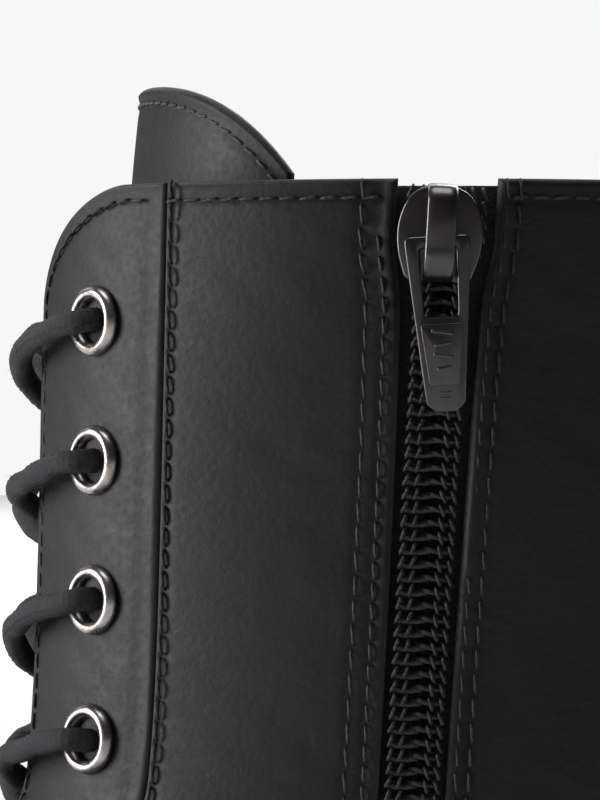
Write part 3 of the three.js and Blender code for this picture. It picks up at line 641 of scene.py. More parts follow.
def weaveFinish(name, low, high, pitch=0.55):
    # A close plain weave, laid out along the piece's own lengths.
    m = Finish(name, Specular_IOR_Level=0.25, Sheen_Weight=0.2)
    along = m.node("ShaderNodeUVMap", {"uv_map": "UVMap"}, {})
    u, v, _ = m.axes(along)
    rate = 2 * math.pi / (pitch * mm)
    over = (u * rate).sine() * (v * rate).sine()
    ribs = (v * (rate * 2)).sine() * 0.5 + 0.5
    fluff = m.noise(2200, 5, 0.7)
    tone = over.size() * 0.4 + ribs * 0.2 + fluff * 0.4
    m.feed(Base_Color=m.mix(tone.above(0.2, 0.8), low, high), Roughness=0.75 + 0.2 * fluff,
           Normal=m.bump(over * 0.6 + ribs * 0.4 + fluff * 0.6, 0.00018, 0.7))
    return m.material


def clothFinish(name, low, high):
    # Padded lining cloth, fine knit, with a soft nap.
    m = Finish(name, Specular_IOR_Level=0.2, Sheen_Weight=0.4)
    x, y, z = m.axes()
    knit = ((z * 4200).sine() * ((x + y) * 3600).sine()).size()
    fluff = m.noise(900, 5, 0.7)
    broad = m.noise(60, 3, 0.5)
    tone = knit * 0.35 + fluff * 0.35 + broad * 0.3
    m.feed(Base_Color=m.mix(tone.above(0.2, 0.8), low, high), Roughness=0.82 + 0.15 * fluff,
           Normal=m.bump(knit + fluff, 0.0002, 0.6))
    return m.material


leather = leatherFinish()
cutEdge = fleshFinish()
seamThread = threadFinish("seam_thread", grey(0.003, 0.02, 0.05), grey(0.014, 0.02, 0.05))
brightThread = threadFinish("tongue_thread", grey(0.008, 0.02, 0.04), grey(0.045, 0.02, 0.02))
weltThread = threadFinish("welt_thread", grey(0.05, 0.0, 0.0), grey(0.16, 0.02, 0.0), 3600.0)
rubber = rubberFinish()
gunmetal = metalFinish("eyelet_metal", grey(0.2, 0.08, -0.06), grey(0.38, 0.06, -0.04), 0.22)
steelLook = metalFinish("plain_steel", grey(0.35), grey(0.55), 0.35)
enamel = enamelFinish()
braid = braidFinish()
tapeCloth = weaveFinish("zip_tape", grey(0.004, 0.0, 0.06), grey(0.016, 0.0, 0.06))
coilNylon = threadFinish("zip_coil", grey(0.005, 0.0, 0.05), grey(0.02, 0.0, 0.05), 7000.0)
liningCloth = clothFinish("lining_cloth", grey(0.02, 0.0, 0.04), grey(0.065, 0.0, 0.04))
bedCloth = clothFinish("footbed_cloth", grey(0.03, 0.02, 0.0), grey(0.09, 0.02, 0.0))
print("boot: finishes ready")


# Geometry Nodes set one small piece along every path, standing out of the surface.
def buildRowTree():
    tree = bpy.data.node_groups.new("setInRows", "GeometryNodeTree")
    face = tree.interface
    face.new_socket("Geometry", in_out="INPUT", socket_type="NodeSocketGeometry")
    sizes = {"Pitch": "Float", "Lean": "Float", "Uneven": "Float", "Seed": "Int",
             "Piece": "Object", "Finish": "Material"}
    for name, kind in sizes.items():
        face.new_socket(name, in_out="INPUT", socket_type="NodeSocket" + kind)
    face.new_socket("Geometry", in_out="OUTPUT", socket_type="NodeSocketGeometry")
    inside = tree.nodes.new("NodeGroupInput")
    outside = tree.nodes.new("NodeGroupOutput")

    def node(kind, settings=None, links=None):
        made = tree.nodes.new(kind)
        for name, value in (settings or {}).items():
            setattr(made, name, value)
        for name, value in (links or {}).items():
            if hasattr(value, "is_output"):
                tree.links.new(value, made.inputs[name])
            else:
                made.inputs[name].default_value = value
        return made

    curve = node("GeometryNodeMeshToCurve", None, {"Mesh": inside.outputs["Geometry"]})
    even = node("GeometryNodeResampleCurve", None, {"Curve": curve.outputs[0]})
    if "Mode" in even.inputs:
        even.inputs["Mode"].default_value = "Length"
    else:
        even.mode = "LENGTH"
    tree.links.new(inside.outputs["Pitch"], even.inputs["Length"])
    stand = node("GeometryNodeInputNamedAttribute", {"data_type": "FLOAT_VECTOR"}, {"Name": "stand"})
    tangent = node("GeometryNodeInputTangent")
    along = node("FunctionNodeAlignRotationToVector", {"axis": "X"}, {"Vector": tangent.outputs[0]})
    links = {"Rotation": along.outputs[0], "Vector": stand.outputs["Attribute"]}
    upright = node("FunctionNodeAlignRotationToVector", {"axis": "Z", "pivot_axis": "X"}, links)
    wobble = node("FunctionNodeRandomValue", {"data_type": "FLOAT"}, {"Seed": inside.outputs["Seed"]})
    wobble.inputs[2].default_value = -1.0
    wobble.inputs[3].default_value = 1.0
    spread = node("ShaderNodeMath", {"operation": "MULTIPLY_ADD"})
    tree.links.new(wobble.outputs[1], spread.inputs[0])
    tree.links.new(inside.outputs["Uneven"], spread.inputs[1])
    tree.links.new(inside.outputs["Lean"], spread.inputs[2])
    angle = node("FunctionNodeAxisAngleToRotation", None, {"Axis": (0, 0, 1), "Angle": spread.outputs[0]})
    links = {"Rotation": upright.outputs[0], "Rotate By": angle.outputs[0]}
    turned = node("FunctionNodeRotateRotation", {"rotation_space": "LOCAL"}, links)
    piece = node("GeometryNodeObjectInfo", None, {"Object": inside.outputs["Piece"]})
    links = {"Points": even.outputs[0], "Instance": piece.outputs["Geometry"]}
    links["Rotation"] = turned.outputs[0]
    placed = node("GeometryNodeInstanceOnPoints", None, links)
    real = node("GeometryNodeRealizeInstances", None, {"Geometry": placed.outputs[0]})
    links = {"Geometry": real.outputs[0], "Material": inside.outputs["Finish"]}
    dressed = node("GeometryNodeSetMaterial", None, links)
    tree.links.new(dressed.outputs[0], outside.inputs[0])
    return tree


rowTree = buildRowTree()


def setInRows(name, paths, piece, pitch, finish, lean=0.0, uneven=0.0, seed=1):
    # paths are (places, outward directions) pairs; piece is (points, faces) made round the origin.
    small = bpy.data.meshes.new(name + "_one")
    small.from_pydata([tuple(np.asarray(point) * mm) for point in piece[0]], [], piece[1])
    small.polygons.foreach_set("use_smooth", [True] * len(small.polygons))
    one = bpy.data.objects.new(name + "_one", small)
    points, outs, edges = [], [], []
    for places, out in paths:
        start = len(points)
        points += [tuple((place + np.array([shift / mm, 0, 0])) * mm) for place in places]
        outs.append(out)
        edges += [(start + i, start + i + 1) for i in range(len(places) - 1)]
    line = bpy.data.meshes.new(name)
    line.from_pydata(points, edges, [])
    stand = line.attributes.new("stand", "FLOAT_VECTOR", "POINT")
    stand.data.foreach_set("vector", np.concatenate(outs).astype(np.float32).ravel())
    carrier = bpy.data.objects.new(name + "_path", line)
    bpy.context.scene.collection.objects.link(carrier)
    rows = carrier.modifiers.new("rows", "NODES")
    rows.node_group = rowTree
    values = {"Pitch": pitch * mm, "Lean": lean, "Uneven": uneven, "Seed": seed}
    values.update({"Piece": one, "Finish": finish})
    for item in rowTree.interface.items_tree:
        if item.in_out == "INPUT" and item.name in values:
            rows[item.identifier] = values[item.name]
    bpy.context.view_layer.update()
    depsgraph = bpy.context.evaluated_depsgraph_get()
    mesh = bpy.data.meshes.new_from_object(carrier.evaluated_get(depsgraph))
    mesh.name = name
    for old in (carrier, one):
        bpy.data.objects.remove(old)
    if not mesh.materials:
        mesh.materials.append(finish)
    made = bpy.data.objects.new(name, mesh)
    bpy.context.scene.collection.objects.link(made)
    return made


def along(surface, p, q, lift=0.0):
    # A path on a surface, with the direction out of it at each place.
    p, q = np.broadcast_arrays(np.asarray(p, float), np.asarray(q, float))
    out = outward(surface, p, q)
    return surface(p, q) + out * lift, out


def stitchPiece(length, radius, rise, sides=6):
    # One stitch of thread, arched over the leather and going down into it at both ends.
    share = np.linspace(-1, 1, 7)
    lift = rise * (1 - share**4) - radius * 0.55 - share**8 * 0.3
    points = np.stack([share * length / 2, share * 0, lift], -1)
    reach = radius * (1 - 0.25 * share**6)
    return tubeParts(points, reach, sides, up=(0, 1, 0))[:2]


def softWaves(seed, length, height, count=7, turn=None):
    # A gentle uneven swell over the leather, the sum of a few long waves.
    chance = random.Random(seed)
    waves = []
    for _ in range(count):
        angle = turn + chance.uniform(-0.35, 0.35) if turn is not None else chance.uniform(0, math.pi)
        rate = 2 * math.pi / (length * chance.uniform(0.6, 1.6))
        waves.append((math.cos(angle) * rate, math.sin(angle) * rate, chance.uniform(0, 2 * math.pi)))

    def swell(y, z):
        total = 0
        for ky, kz, start in waves:
            total = total + np.sin(ky * y + kz * z + start)
        return height * total / math.sqrt(count)

    return swell


def channel(distance, deep=0.16, half=0.9):
    # The leather pulled down along a row of stitches.
    return -deep * np.exp(-(distance / half) ** 2)


seams = {
    "zipOuter": {"inset": 4.7, "pitch": 3.4},
    "zipInner": {"inset": 2.2, "pitch": 2.8},
    "zipRear": {"inset": 3.1, "pitch": 3.4},
    "zipRearEdge": {"inset": 1.3, "pitch": 3.4},
    "facingEdge": {"inset": 2.4, "pitch": 2.9},
    "facingBack": {"inset": 1.3, "pitch": 3.0},
    "topline": {"inset": 2.6, "pitch": 2.9},
    "tongue": {"inset": 2.4, "pitch": 2.65},
    "vampEdge": {"insets": (1.8, 4.2), "pitch": 3.0},
    "stay": {"insets": (1.3, 3.6), "pitch": 3.0},
}
broadSwell = softWaves(3, 30, 0.13)
fineSwell = softWaves(5, 8.5, 0.03, 9, 0.9)
flexSwell = softWaves(8, 9.0, 0.26, 6, 1.35)
longSwell = softWaves(11, 70, 0.3)


def bodyRelief(field):
    y, z = field["y"], field["z"]
    flex = smoothstep(z, 60, 95) * (1 - smoothstep(z, 125, 165))
    return broadSwell(y, z) + fineSwell(y, z) + longSwell(y, z) + flexSwell(y, z) * flex - 0.3


def zipEdgeRelief(field, side, rows):
    fromZip = field["right"] if side < 0 else field["left"]
    pulled = sum(channel(fromZip - seams[row]["inset"], 0.2, 0.8) for row in rows)
    ends = smoothstep(field["z"], 62, 70)
    bead = 0.32 * np.exp(-((fromZip - 0.9) / 0.9) ** 2)
    return ends * (pulled + bead)


def toplineRelief(field):
    return channel(field["high"] - seams["topline"]["inset"], 0.2, 0.9)


def frontQuarterRelief(field):
    z = field["z"]
    fromZip = field["right"]
    # Where the slider sits when the boot is worn the edge has puckered into a row of small swells.
    reach = smoothstep(z, 212, 224) * (1 - smoothstep(z, 234, 239))
    pucker = np.exp(-((fromZip - 1.6) / 1.5) ** 2) * reach
    beads = 0.35 + 0.3 * np.sin(2 * math.pi * z / 2.8)
    atSeam = channel(field["left"] - 1.2, 0.16, 0.8)
    atTop = toplineRelief(field)
    atZipEdge = zipEdgeRelief(field, -1, ("zipOuter", "zipInner"))
    return bodyRelief(field) + atZipEdge + pucker * beads + atSeam + atTop


def rearQuarterRelief(field):
    atTop = toplineRelief(field)
    return bodyRelief(field) + zipEdgeRelief(field, 1, ("zipRear",)) + atTop


def outerQuarterRelief(field):
    return bodyRelief(field) + toplineRelief(field)


def facingRelief(field):
    creases = 0.07 * np.sin(field["z"] * 0.72 + field["y"] * 1.1 + 1.5 * np.sin(field["z"] * 0.11))
    across = smoothstep(field["edge"], 4, 9)
    row = channel(field["edge"] - seams["facingEdge"]["inset"], 0.2)
    return 0.6 * bodyRelief(field) + creases * across + row


def between(left, right, low, high):
    # A panel whose two side edges are turns at each height.
    def place(a, b):
        height = lerp(low, high, b)
        return lerp(left(height), right(height), a), height
    return place


def stayEdge(height):
    return turnAtBackX(boot["stayHalf"], height)


gapTurn = boot["seam"]
bottomEdge = featherHeight + 0.3


def atZip(offset):
    return lambda height: turnAtY(zipY(height) + offset(height), height)


def buildQuarters():
    def quarterEdge(height):
        return quarterFront(height) + gapTurn

    def stay(height):
        return stayEdge(height) - gapTurn

    def aroundStay(height):
        return 6 - stayEdge(height) - gapTurn

    panels = {
        "medial_front_quarter": (quarterEdge, atZip(lambda h: -slotHalf(h)), 52, 0.95, frontQuarterRelief),
        "medial_rear_quarter": (atZip(slotHalf), stay, 66, 1.0, rearQuarterRelief),
        "lateral_quarter": (lambda h: -stay(h), lambda h: -quarterEdge(h), 130, 1.2, outerQuarterRelief),
        "backstay": (lambda h: stayEdge(h) + gapTurn, aroundStay, 26, 1.0, bodyRelief),
    }
    for name, (left, right, wide, step, relief) in panels.items():
        place = between(left, right, bottomEdge, toplineHeight)
        piece = skin(name + "_leather", leather, upper, place, (wide, 210), step, relief=relief)
        settlePiece(piece, "leather", name)


def vampEdge(height):
    return quarterFront(height) - gapTurn


def buildVamp():
    place = between(lambda h: -vampEdge(h), vampEdge, bottomEdge, throatHeight - 0.2)
    piece = skin("vamp_leather", leather, upper, place, (270, 75), 1.6, relief=bodyRelief)
    settlePiece(piece, "leather", "vamp")


def buildFacings():
    for name, side in (("medial", 1), ("lateral", -1)):
        def place(a, b, side=side):
            share = a if side > 0 else 1 - a
            top = toplineHeight - cornerDrop(share * boot["facingTop"])
            height = lerp(throatHeight + 0.3, top, b)
            front = turnAtX(boot["openingHalf"], height)
            return side * lerp(front, facingBack(height) - gapTurn, share), height

        piece = skin(f"{name}_facing_leather", leather, upper, place, (24, 160), 0.7,
                     thick=boot["facing"], relief=facingRelief)
        settlePiece(piece, "leather", f"{name}_facing")


tongueCut = {"thick": 1.8, "rise": 15.0, "fall": 13.8, "low": 87.0}
tongueDepth = profile((86, 6.9), (95, 9), (125, 10.2), (200, 13), (220, 13.6), (236, 13.1), (255, 14.3))


def tongueTop(side):
    return toplineHeight + tongueCut["rise"] - tongueCut["fall"] * np.abs(side) ** 3.5


def tongueSurface(bend, height):
    bend, height = np.broadcast_arrays(np.asarray(bend, float), np.asarray(height, float))
    slope = (frontLine(height + 1) - frontLine(height - 1)) / 2
    depth = tongueDepth(height) * np.hypot(1, slope)
    half = np.minimum(shaftHalf(height) - 8.5, 37.5)
    around = lerp(frontRound(height) * 0.75, 30, smoothstep(height, boot["ankle"], toplineHeight))
    y = frontLine(height) + depth + around * (1 - np.cos(bend))
    return np.stack([half * np.sin(bend), y, height + settle(frontLine(height), height)], -1)


def tonguePlace(a, b):
    side = 2 * a - 1
    height = lerp(tongueCut["low"], tongueTop(side), b)
    return side * lerp(0.72, 1.36, smoothstep(height, 195, 236)), height


def tongueRelief(field):
    rolled = 0.25 * np.exp(-((field["high"] - 0.8) / 0.8) ** 2)
    row = channel(field["high"] - seams["tongue"]["inset"], 0.2, 0.8)
    return 0.5 * broadSwell(field["x"] + field["y"], field["z"]) + row + rolled


def buildTongue():
    piece = skin("tongue_leather", leather, tongueSurface, tonguePlace, (80, 165), 0.9,
                 thick=tongueCut["thick"], lip=0.8, relief=tongueRelief)
    settlePiece(piece, "leather", "tongue")


def buildLinings():
    def edge(h):
        return quarterFront(h) + 0.057

    def slot(h):
        return np.where(np.asarray(h) <= zipLine["slotLow"], 0.15, zipLine["tapeHalf"] + 1.3)

    high = toplineHeight - 0.5
    spans = {
        "lateral_lining": (lambda h: -3 + gapTurn, lambda h: -edge(h), 120),
        "medial_front_lining": (edge, atZip(lambda h: -slot(h)), 44),
        "medial_rear_lining": (atZip(slot), lambda h: 3 - gapTurn, 66),
    }
    for name, (left, right, wide) in spans.items():
        place = between(left, right, bottomEdge, high)
        piece = skin(name + "_cloth", liningCloth, upper, place, (wide, 205), 2.0, liningDepth, 1.2, 0.5)
        settlePiece(piece, "lining", name)
    place = between(lambda h: -vampEdge(h), vampEdge, bottomEdge, throatHeight - 1)
    piece = skin("vamp_lining_cloth", liningCloth, upper, place, (255, 72), 2.6, 5.5, 1.2, 0.5)
    settlePiece(piece, "lining", "vamp_lining")


buildQuarters()
buildVamp()
buildFacings()
buildTongue()
buildLinings()
print("boot: upper cut")


thread = {"radius": 0.25, "fill": 0.86, "rise": 0.2, "lean": 0.1, "uneven": 0.06}


def sewn(name, paths, pitch, finish=seamThread, radius=thread["radius"], seed=1):
    piece = stitchPiece(pitch * thread["fill"], radius, thread["rise"])
    made = setInRows(name, paths, piece, pitch, finish, thread["lean"], thread["uneven"], seed)
    settlePiece(made, "leather")


def levels(low, high, step=1.5):
    return np.linspace(low, high, max(int(abs(high - low) / step), 2) + 1)


def zipRow(side, inset, high):
    low, lift = 68.0, 0.02
    height = levels(high, low)
    turn = turnAtY(zipY(height) + side * (slotHalf(height) + inset), height)
    return along(upper, turn, height, lift)


def toplineRow(fromTurn, toTurn, drop):
    turn = np.linspace(float(fromTurn), float(toTurn), 90)
    return along(upper, turn, toplineHeight - drop, -0.05)


def facingPlace(side, inset):
    # Up the front edge of a facing and round its top corner, a constant way in from the edge.
    corner = [(0.0, boot["throat"] + 3 + i * 2.2) for i in range(200)]
    straight = toplineHeight - boot["cornerHigh"] - 0.5
    edge = [(distance, height) for distance, height in corner if height < straight]
    for distance in np.concatenate([np.linspace(0.02, 1, 14), np.linspace(1.6, 22.5, 34)]):
        edge.append((float(distance), float(toplineHeight - cornerDrop(distance))))
    edge = np.array(edge)
    slope = np.gradient(edge, axis=0)
    slope /= np.linalg.norm(slope, axis=1, keepdims=True)
    moved = edge + np.stack([slope[:, 1], -slope[:, 0]], -1) * inset
    keep = (moved[:, 1] > boot["throat"] + 2) & (np.gradient(moved[:, 1]) > -0.5)
    keep &= moved[:, 0] >= inset * 0.7
    distance, height = moved[keep].T
    front = turnAtX(boot["openingHalf"], height)
    share = distance / boot["facingTop"]
    return side * lerp(front, facingBack(height), share), height


def tongueTopRow(inset):
    side = np.linspace(-0.985, 0.985, 90)
    height = tongueTop(side) - inset * (1 + 0.5 * np.abs(side) ** 4)
    return along(tongueSurface, side * 1.36 * 0.99, height, -0.05)


def buildStitches():
    zipSeams = (
        ("outer", "zipOuter", -1, 238.5, 0.25, 3),
        ("inner", "zipInner", -1, 231.0, 0.25, 1),
        ("rear", "zipRear", 1, 238.5, 0.25, 5),
        ("rear_edge", "zipRearEdge", 1, 238.5, 0.22, 6),
    )
    for name, seam, side, high, radius, seed in zipSeams:
        path = zipRow(side, seams[seam]["inset"], high)
        sewn(f"zip_seam_{name}_stitches", [path], seams[seam]["pitch"], radius=radius, seed=seed)

    edges, backs = [], []
    for side in (1, -1):
        edges.append(along(upper, *facingPlace(side, seams["facingEdge"]["inset"]), -0.02))
        height = levels(throatHeight + 2, toplineHeight - 1.0)
        backs.append(along(upper, side * (facingBack(height) + 0.0155), height, 0.02))
    sewn("facing_edge_stitches", edges, seams["facingEdge"]["pitch"], seed=7)
    sewn("facing_seam_stitches", backs, seams["facingBack"]["pitch"], radius=0.28, seed=8)

    drop = seams["topline"]["inset"]
    zipFront = turnAtY(zipY(238) - slotHalf(238) - 3.5, 238)
    zipBack = turnAtY(zipY(238) + slotHalf(238) + 3.0, 238)
    tops = [
        toplineRow(facingBack(238) + 0.02, zipFront, drop),
        toplineRow(zipBack, stayEdge(238) - 0.02, drop),
        toplineRow(0.03 - stayEdge(238), -facingBack(238) - 0.02, drop),
        toplineRow(stayEdge(238) + 0.02, 6 - stayEdge(238) - 0.02, drop),
    ]
    sewn("topline_stitches", tops, seams["topline"]["pitch"], seed=9)
    tongueRow = tongueTopRow(seams["tongue"]["inset"])
    pitch = seams["tongue"]["pitch"]
    sewn("tongue_edge_stitches", [tongueRow], pitch, brightThread, radius=0.24, seed=10)

    stays, vamps = [], []
    height = levels(bottomEdge + 2, toplineHeight - 2)
    for side in (1, -1):
        for inset in seams["stay"]["insets"]:
            place = turnAtBackX(boot["stayHalf"] - inset, height)
            stays.append(along(upper, side * place, height, 0.02))
        low = levels(bottomEdge + 2, throatHeight - 3)
        for inset in seams["vampEdge"]["insets"]:
            turn = turnAtY(vampSeamY(low) + inset, low)
            vamps.append(along(upper, side * turn, low, 0.02))
    sewn("backstay_stitches", stays, seams["stay"]["pitch"], seed=11)
    sewn("vamp_seam_stitches", vamps, seams["vampEdge"]["pitch"], seed=12)


buildStitches()
print("boot: sewn")


eyelet = {
    "pairs": 8,
    "belowTop": 19.2,
    "aboveThroat": 12.5,
    "outer": 5.05,
    "hole": 3.0,
    "crown": 1.35,
    "sides": 48,
}
eyeletX = boot["openingHalf"] + boot["eyeletIn"]


def eyeletHeights():
    fine = np.linspace(throatHeight + eyelet["aboveThroat"], toplineHeight - eyelet["belowTop"], 201)
    places = upper(turnAtX(eyeletX, fine), fine)
    run = np.concatenate([[0], np.cumsum(np.linalg.norm(np.diff(places, axis=0), axis=1))])
    lengths = np.linspace(run[-1], 0, eyelet["pairs"])
    return [float(fine[np.argmax(run >= length - 1e-6)]) for length in lengths]


eyeletLevels = eyeletHeights()


def lathed(section, sides):
    # A ring turned round +Y from (radius, height) pairs that close on themselves.
    turn = np.linspace(0, 2 * math.pi, sides, endpoint=False)
    points = [(r * math.sin(t), y, r * math.cos(t)) for t in turn for r, y in section]
    count = len(section)
    faces = []
    for i in range(sides):
        j = (i + 1) % sides
        for k in range(count):
            n = (k + 1) % count
            faces.append((i * count + k, j * count + k, j * count + n, i * count + n))
    return np.array(points), faces


def setOnUpper(points, turn, height):
    out = outward(upper, turn, height)
    spin = np.array(Vector((0, 1, 0)).rotation_difference(Vector(out)).to_matrix())
    return points @ spin.T + upper(turn, height)


def eyeletSection():
    # A rolled rim outside, the barrel, and the flange clenched inside.
    e = eyelet
    back = -boot["facing"] - 1.2
    middle = (e["outer"] + e["hole"]) / 2
    half = (e["outer"] - e["hole"]) / 2
    flange = e["outer"] - 0.6
    section = [(e["hole"] + 0.02, back - 0.4), (flange, back - 0.35), (flange, back),
               (e["hole"] + 0.5, back + 0.1), (e["hole"] + 0.5, -0.1)]
    for angle in np.linspace(-0.12 * math.pi, 1.0 * math.pi, 15):
        section.append((middle + half * math.cos(angle), max(e["crown"] * math.sin(angle), -0.15)))
    section.append((e["hole"], -0.7))
    return section


def buildEyelets():
    for name, side in (("medial", 1), ("lateral", -1)):
        parts = []
        for height in eyeletLevels:
            points, faces = lathed(eyeletSection(), eyelet["sides"])
            turn = side * turnAtX(eyeletX, height)
            parts.append((setOnUpper(points, turn, height), faces))
        points, faces, _ = joined(parts)
        piece = makeMesh(f"{name}_eyelets", points, faces, gunmetal)
        settlePiece(piece, "gunmetal", *[f"{name}_eyelet_{i + 1}" for i in range(eyelet["pairs"])])


lace = {"radius": 1.62, "over": -3.2, "top": -3.9, "within": 7.0, "crossOver": -0.4, "crossUnder": 4.4,
        "yarns": 8, "yarnRise": 0.22, "yarnTurn": 9.0, "sides": 26}


def atUpper(x, height, depth):
    return under(upper, np.sign(x) * turnAtX(abs(x), height), height, depth)


def laceLeg(side, number):
    high, low = eyeletLevels[number], eyeletLevels[number + 1]
    opening = boot["openingHalf"]
    crossing = lace["crossOver"] if (number % 2 == 0) == (side > 0) else lace["crossUnder"]
    stops = [
        (side * eyeletX, 0, lace["within"]), (side * eyeletX, 0, 1.4),
        (side * (eyeletX - 0.3), 0, -2.8),
        (side * (eyeletX - 4.5), 0.06, lace["top"]), (side * (opening + 0.6), 0.26, lace["over"]),
        (side * 0.01, 0.5, crossing), (-side * (opening + 0.3), 0.74, lace["within"]),
        (-side * (eyeletX - 4.5), 0.92, lace["within"] + 0.1),
    ]
    return [atUpper(x, lerp(high, low, share), depth) for x, share, depth in stops]


def laceEnd(side):
    high = eyeletLevels[0]
    tucked = [atUpper(eyeletX + out, high - down, depth)
              for out, down, depth in ((3, 4, 6.5), (5.6, 10, 6.2), (6.6, 20, 6), (7, 33, 6.1))]
    x, y, z = tucked[-1]
    floor = float(featherAt(y)) + 2.4 + 6 + 0.9 + 2
    tucked += [
        np.array([x, y + 0.5, lerp(z, floor, 0.2)]), np.array([x, y + 0.5, lerp(z, floor, 0.5)]),
        np.array([x - 1, y + 0.5, lerp(z, floor, 0.75)]), np.array([x - 3, y + 1, lerp(z, floor, 0.9)]),
        np.array([x - 6, y - 2, floor + 3]), np.array([x - 9, y - 12, floor + 0.3]),
        np.array([x - 10, y - 28, floor]), np.array([x - 12, y - 44, floor - 0.5]),
    ]
    return [point * np.array([side, 1, 1]) for point in tucked]


def laceRoute():
    def strand(side):
        legs = [laceLeg(-side if number % 2 else side, number) for number in range(eyelet["pairs"] - 1)]
        return [point for leg in legs for point in leg]

    lowest = eyeletLevels[-1]
    bar = [(eyeletX, lace["within"]), (eyeletX, 1.4), (eyeletX - 0.6, -2.6),
           (eyeletX - 4.5, lace["top"]), (boot["openingHalf"], lace["over"] - 0.4)]
    last = -1 if (eyelet["pairs"] - 1) % 2 else 1
    here = [atUpper(last * x, lowest, depth) for x, depth in bar]
    there = [atUpper(-last * x, lowest, depth) for x, depth in bar]
    middle = [atUpper(0.01, lowest, lace["over"] - 0.4)]
    oneHalf = laceEnd(1)[::-1] + strand(1) + here
    return oneHalf + middle + there[::-1] + strand(-1)[::-1] + laceEnd(-1)


def braidedRadius(run, turn):
    # Two sets of yarns wind round the lace opposite ways, over and under each other.
    rate = 2 * math.pi / lace["yarnTurn"]
    yarns = lace["yarns"]
    left = np.cos(yarns * (turn + rate * run) / 2) ** 2
    right = np.cos(yarns * (turn - rate * run) / 2) ** 2
    weave = np.cos(yarns * rate * run) * 0.5 + 0.5
    return lace["radius"] + lace["yarnRise"] * (np.maximum(left * (0.6 + 0.4 * weave), right) - 0.5)


def buildLace():
    route = curveThrough(laceRoute(), 0.42)
    # The lace is not quite round and not quite straight where it has been pulled about.
    chance = random.Random(4)
    starts = [chance.uniform(0, 6.28) for _ in range(4)]
    run = np.arange(len(route)) * 0.42
    route[:, 2] += 0.14 * np.sin(run * 0.41 + starts[0]) + 0.1 * np.sin(run * 0.93 + starts[1])
    turn = np.linspace(0, 2 * math.pi, lace["sides"], endpoint=False)
    radius = braidedRadius(run[:, None], turn[None])
    squeeze = np.sin(run * 0.6 + starts[2])[:, None] * np.cos(2 * turn + run[:, None] * 0.1)
    radius = radius * (1 + 0.045 * squeeze)
    points, faces, uv = tubeParts(route, radius, lace["sides"])
    piece = makeMesh("lace_cord", points, faces, braid, uv)
    settlePiece(piece, "lace_braid", "lace")
    print("boot: lace", round(float(run[-1])), "mm long")
    return route


def buildFluff(route):
    # Loose filaments that stand off the lace.
    chance = random.Random(17)
    parts = []
    for _ in range(520):
        at = chance.randrange(60, len(route) - 60)
        place = route[at]
        if place[2] < 95:
            continue
        direction = np.array([chance.gauss(0, 1) for _ in range(3)])
        direction /= np.linalg.norm(direction)
        bend = np.array([chance.gauss(0, 1) for _ in range(3)]) * 0.35
        length = chance.uniform(0.5, 1.3)
        root = place + direction * lace["radius"] * 0.9
        points = [root + direction * length * t + bend * t * t for t in (0, 0.35, 0.7, 1.0)]
        parts.append(tubeParts(points, [0.045, 0.04, 0.035, 0.02], 3)[:2])
    points, faces, _ = joined(parts)
    settlePiece(makeMesh("lace_fluff", points, faces, fluffThread), "lace_braid")


fluffThread = threadFinish("loose_thread", grey(0.02, 0.0, 0.1), grey(0.09, 0.0, 0.12))
buildEyelets()
buildFluff(buildLace())
for aglet in ("medial_aglet", "lateral_aglet"):
    dress(aglet, enamel)
print("boot: laced")


zipFrame = {"height": 232.5, "pitch": 1.9, "neckLow": -1.0, "part": 1.75, "wire": 0.36}


def zipMatrix():
    # X out of the boot, Y to the heel, Z up the zip, at the middle of the closed slider.
    rise = 6.5 / 135
    up = Vector((rise, zipLine["lean"], 1)).normalized()
    out = Vector((1, 0, -rise)).normalized()
    heel = up.cross(out)
    height = zipFrame["height"]
    origin = Vector((float(shaftHalf(height)), float(zipY(height)), height))
    return np.array([out, heel, up]).T, np.array(origin)


zipTurn, zipOrigin = zipMatrix()


def fromZip(points):
    return np.asarray(points, float) @ zipTurn.T + zipOrigin


def coilTooth(side):
    # One loop of the coil: two legs from the sewn edge, one over the other, joined by a head.
    # Made with +X up the zip and +Z out, for the row tree.
    edge, head = side * 3.75, -side * 0.35
    path = [
        (-0.15, edge, -0.75), (-0.28, side * 2.6, 0.0), (-0.22, side * 1.2, 0.12),
        (-0.05, side * 0.3, 0.1), (0.0, head, -0.25), (0.0, side * 0.1, -0.75),
        (0.1, side * 1.4, -1.0), (0.35, side * 2.8, -0.9), (0.6, edge, -0.75),
    ]
    points = curveThrough(path, 0.62)
    wire = zipFrame["wire"]
    share = np.linspace(0, 1, len(points))
    swell = wire * (1 + 0.22 * np.exp(-((share - 0.5) / 0.12) ** 2))
    return tubeParts(points, swell, 7)[:2]


def zipPart(z):
    # How far each side of the chain stands from the middle, parting round the neck of the slider.
    neck, part = zipFrame["neckLow"], zipFrame["part"]
    return profile((-200, 0), (neck - 4, 0), (neck, part), (5.5, part))(z)


def buildChain():
    low = zipLine["bottom"] - zipFrame["height"]
    for name, side in (("front", -1), ("rear", 1)):
        half = zipFrame["pitch"] / 2 if side > 0 else 0
        z = np.arange(low + 0.6 + half, 6.2, 0.95)
        part = side * zipPart(z)
        line = fromZip(np.stack([z * 0 - 0.55, part, z], -1))
        out = np.tile(zipTurn[:, 0], (len(z), 1))
        pitch = zipFrame["pitch"]
        coil = setInRows(f"zip_coil_{name}", [(line, out)], coilTooth(side), pitch, coilNylon)
        settlePiece(coil, "black_plastic", f"zip_chain_{name}")

        # Two rows of stitches hold each side of the coil down on its tape.
        rows = []
        for offset in (1.85, 3.35):
            places = fromZip(np.stack([z * 0 - 0.05, side * offset + part, z], -1))
            rows.append((places, out))
        piece = stitchPiece(pitch * 0.98, 0.27, 0.2, 5)
        name = f"zip_coil_{name}_stitches"
        settlePiece(setInRows(name, rows, piece, pitch, coilThread, 0.35 * side, 0.1, 4), "zip_textile")


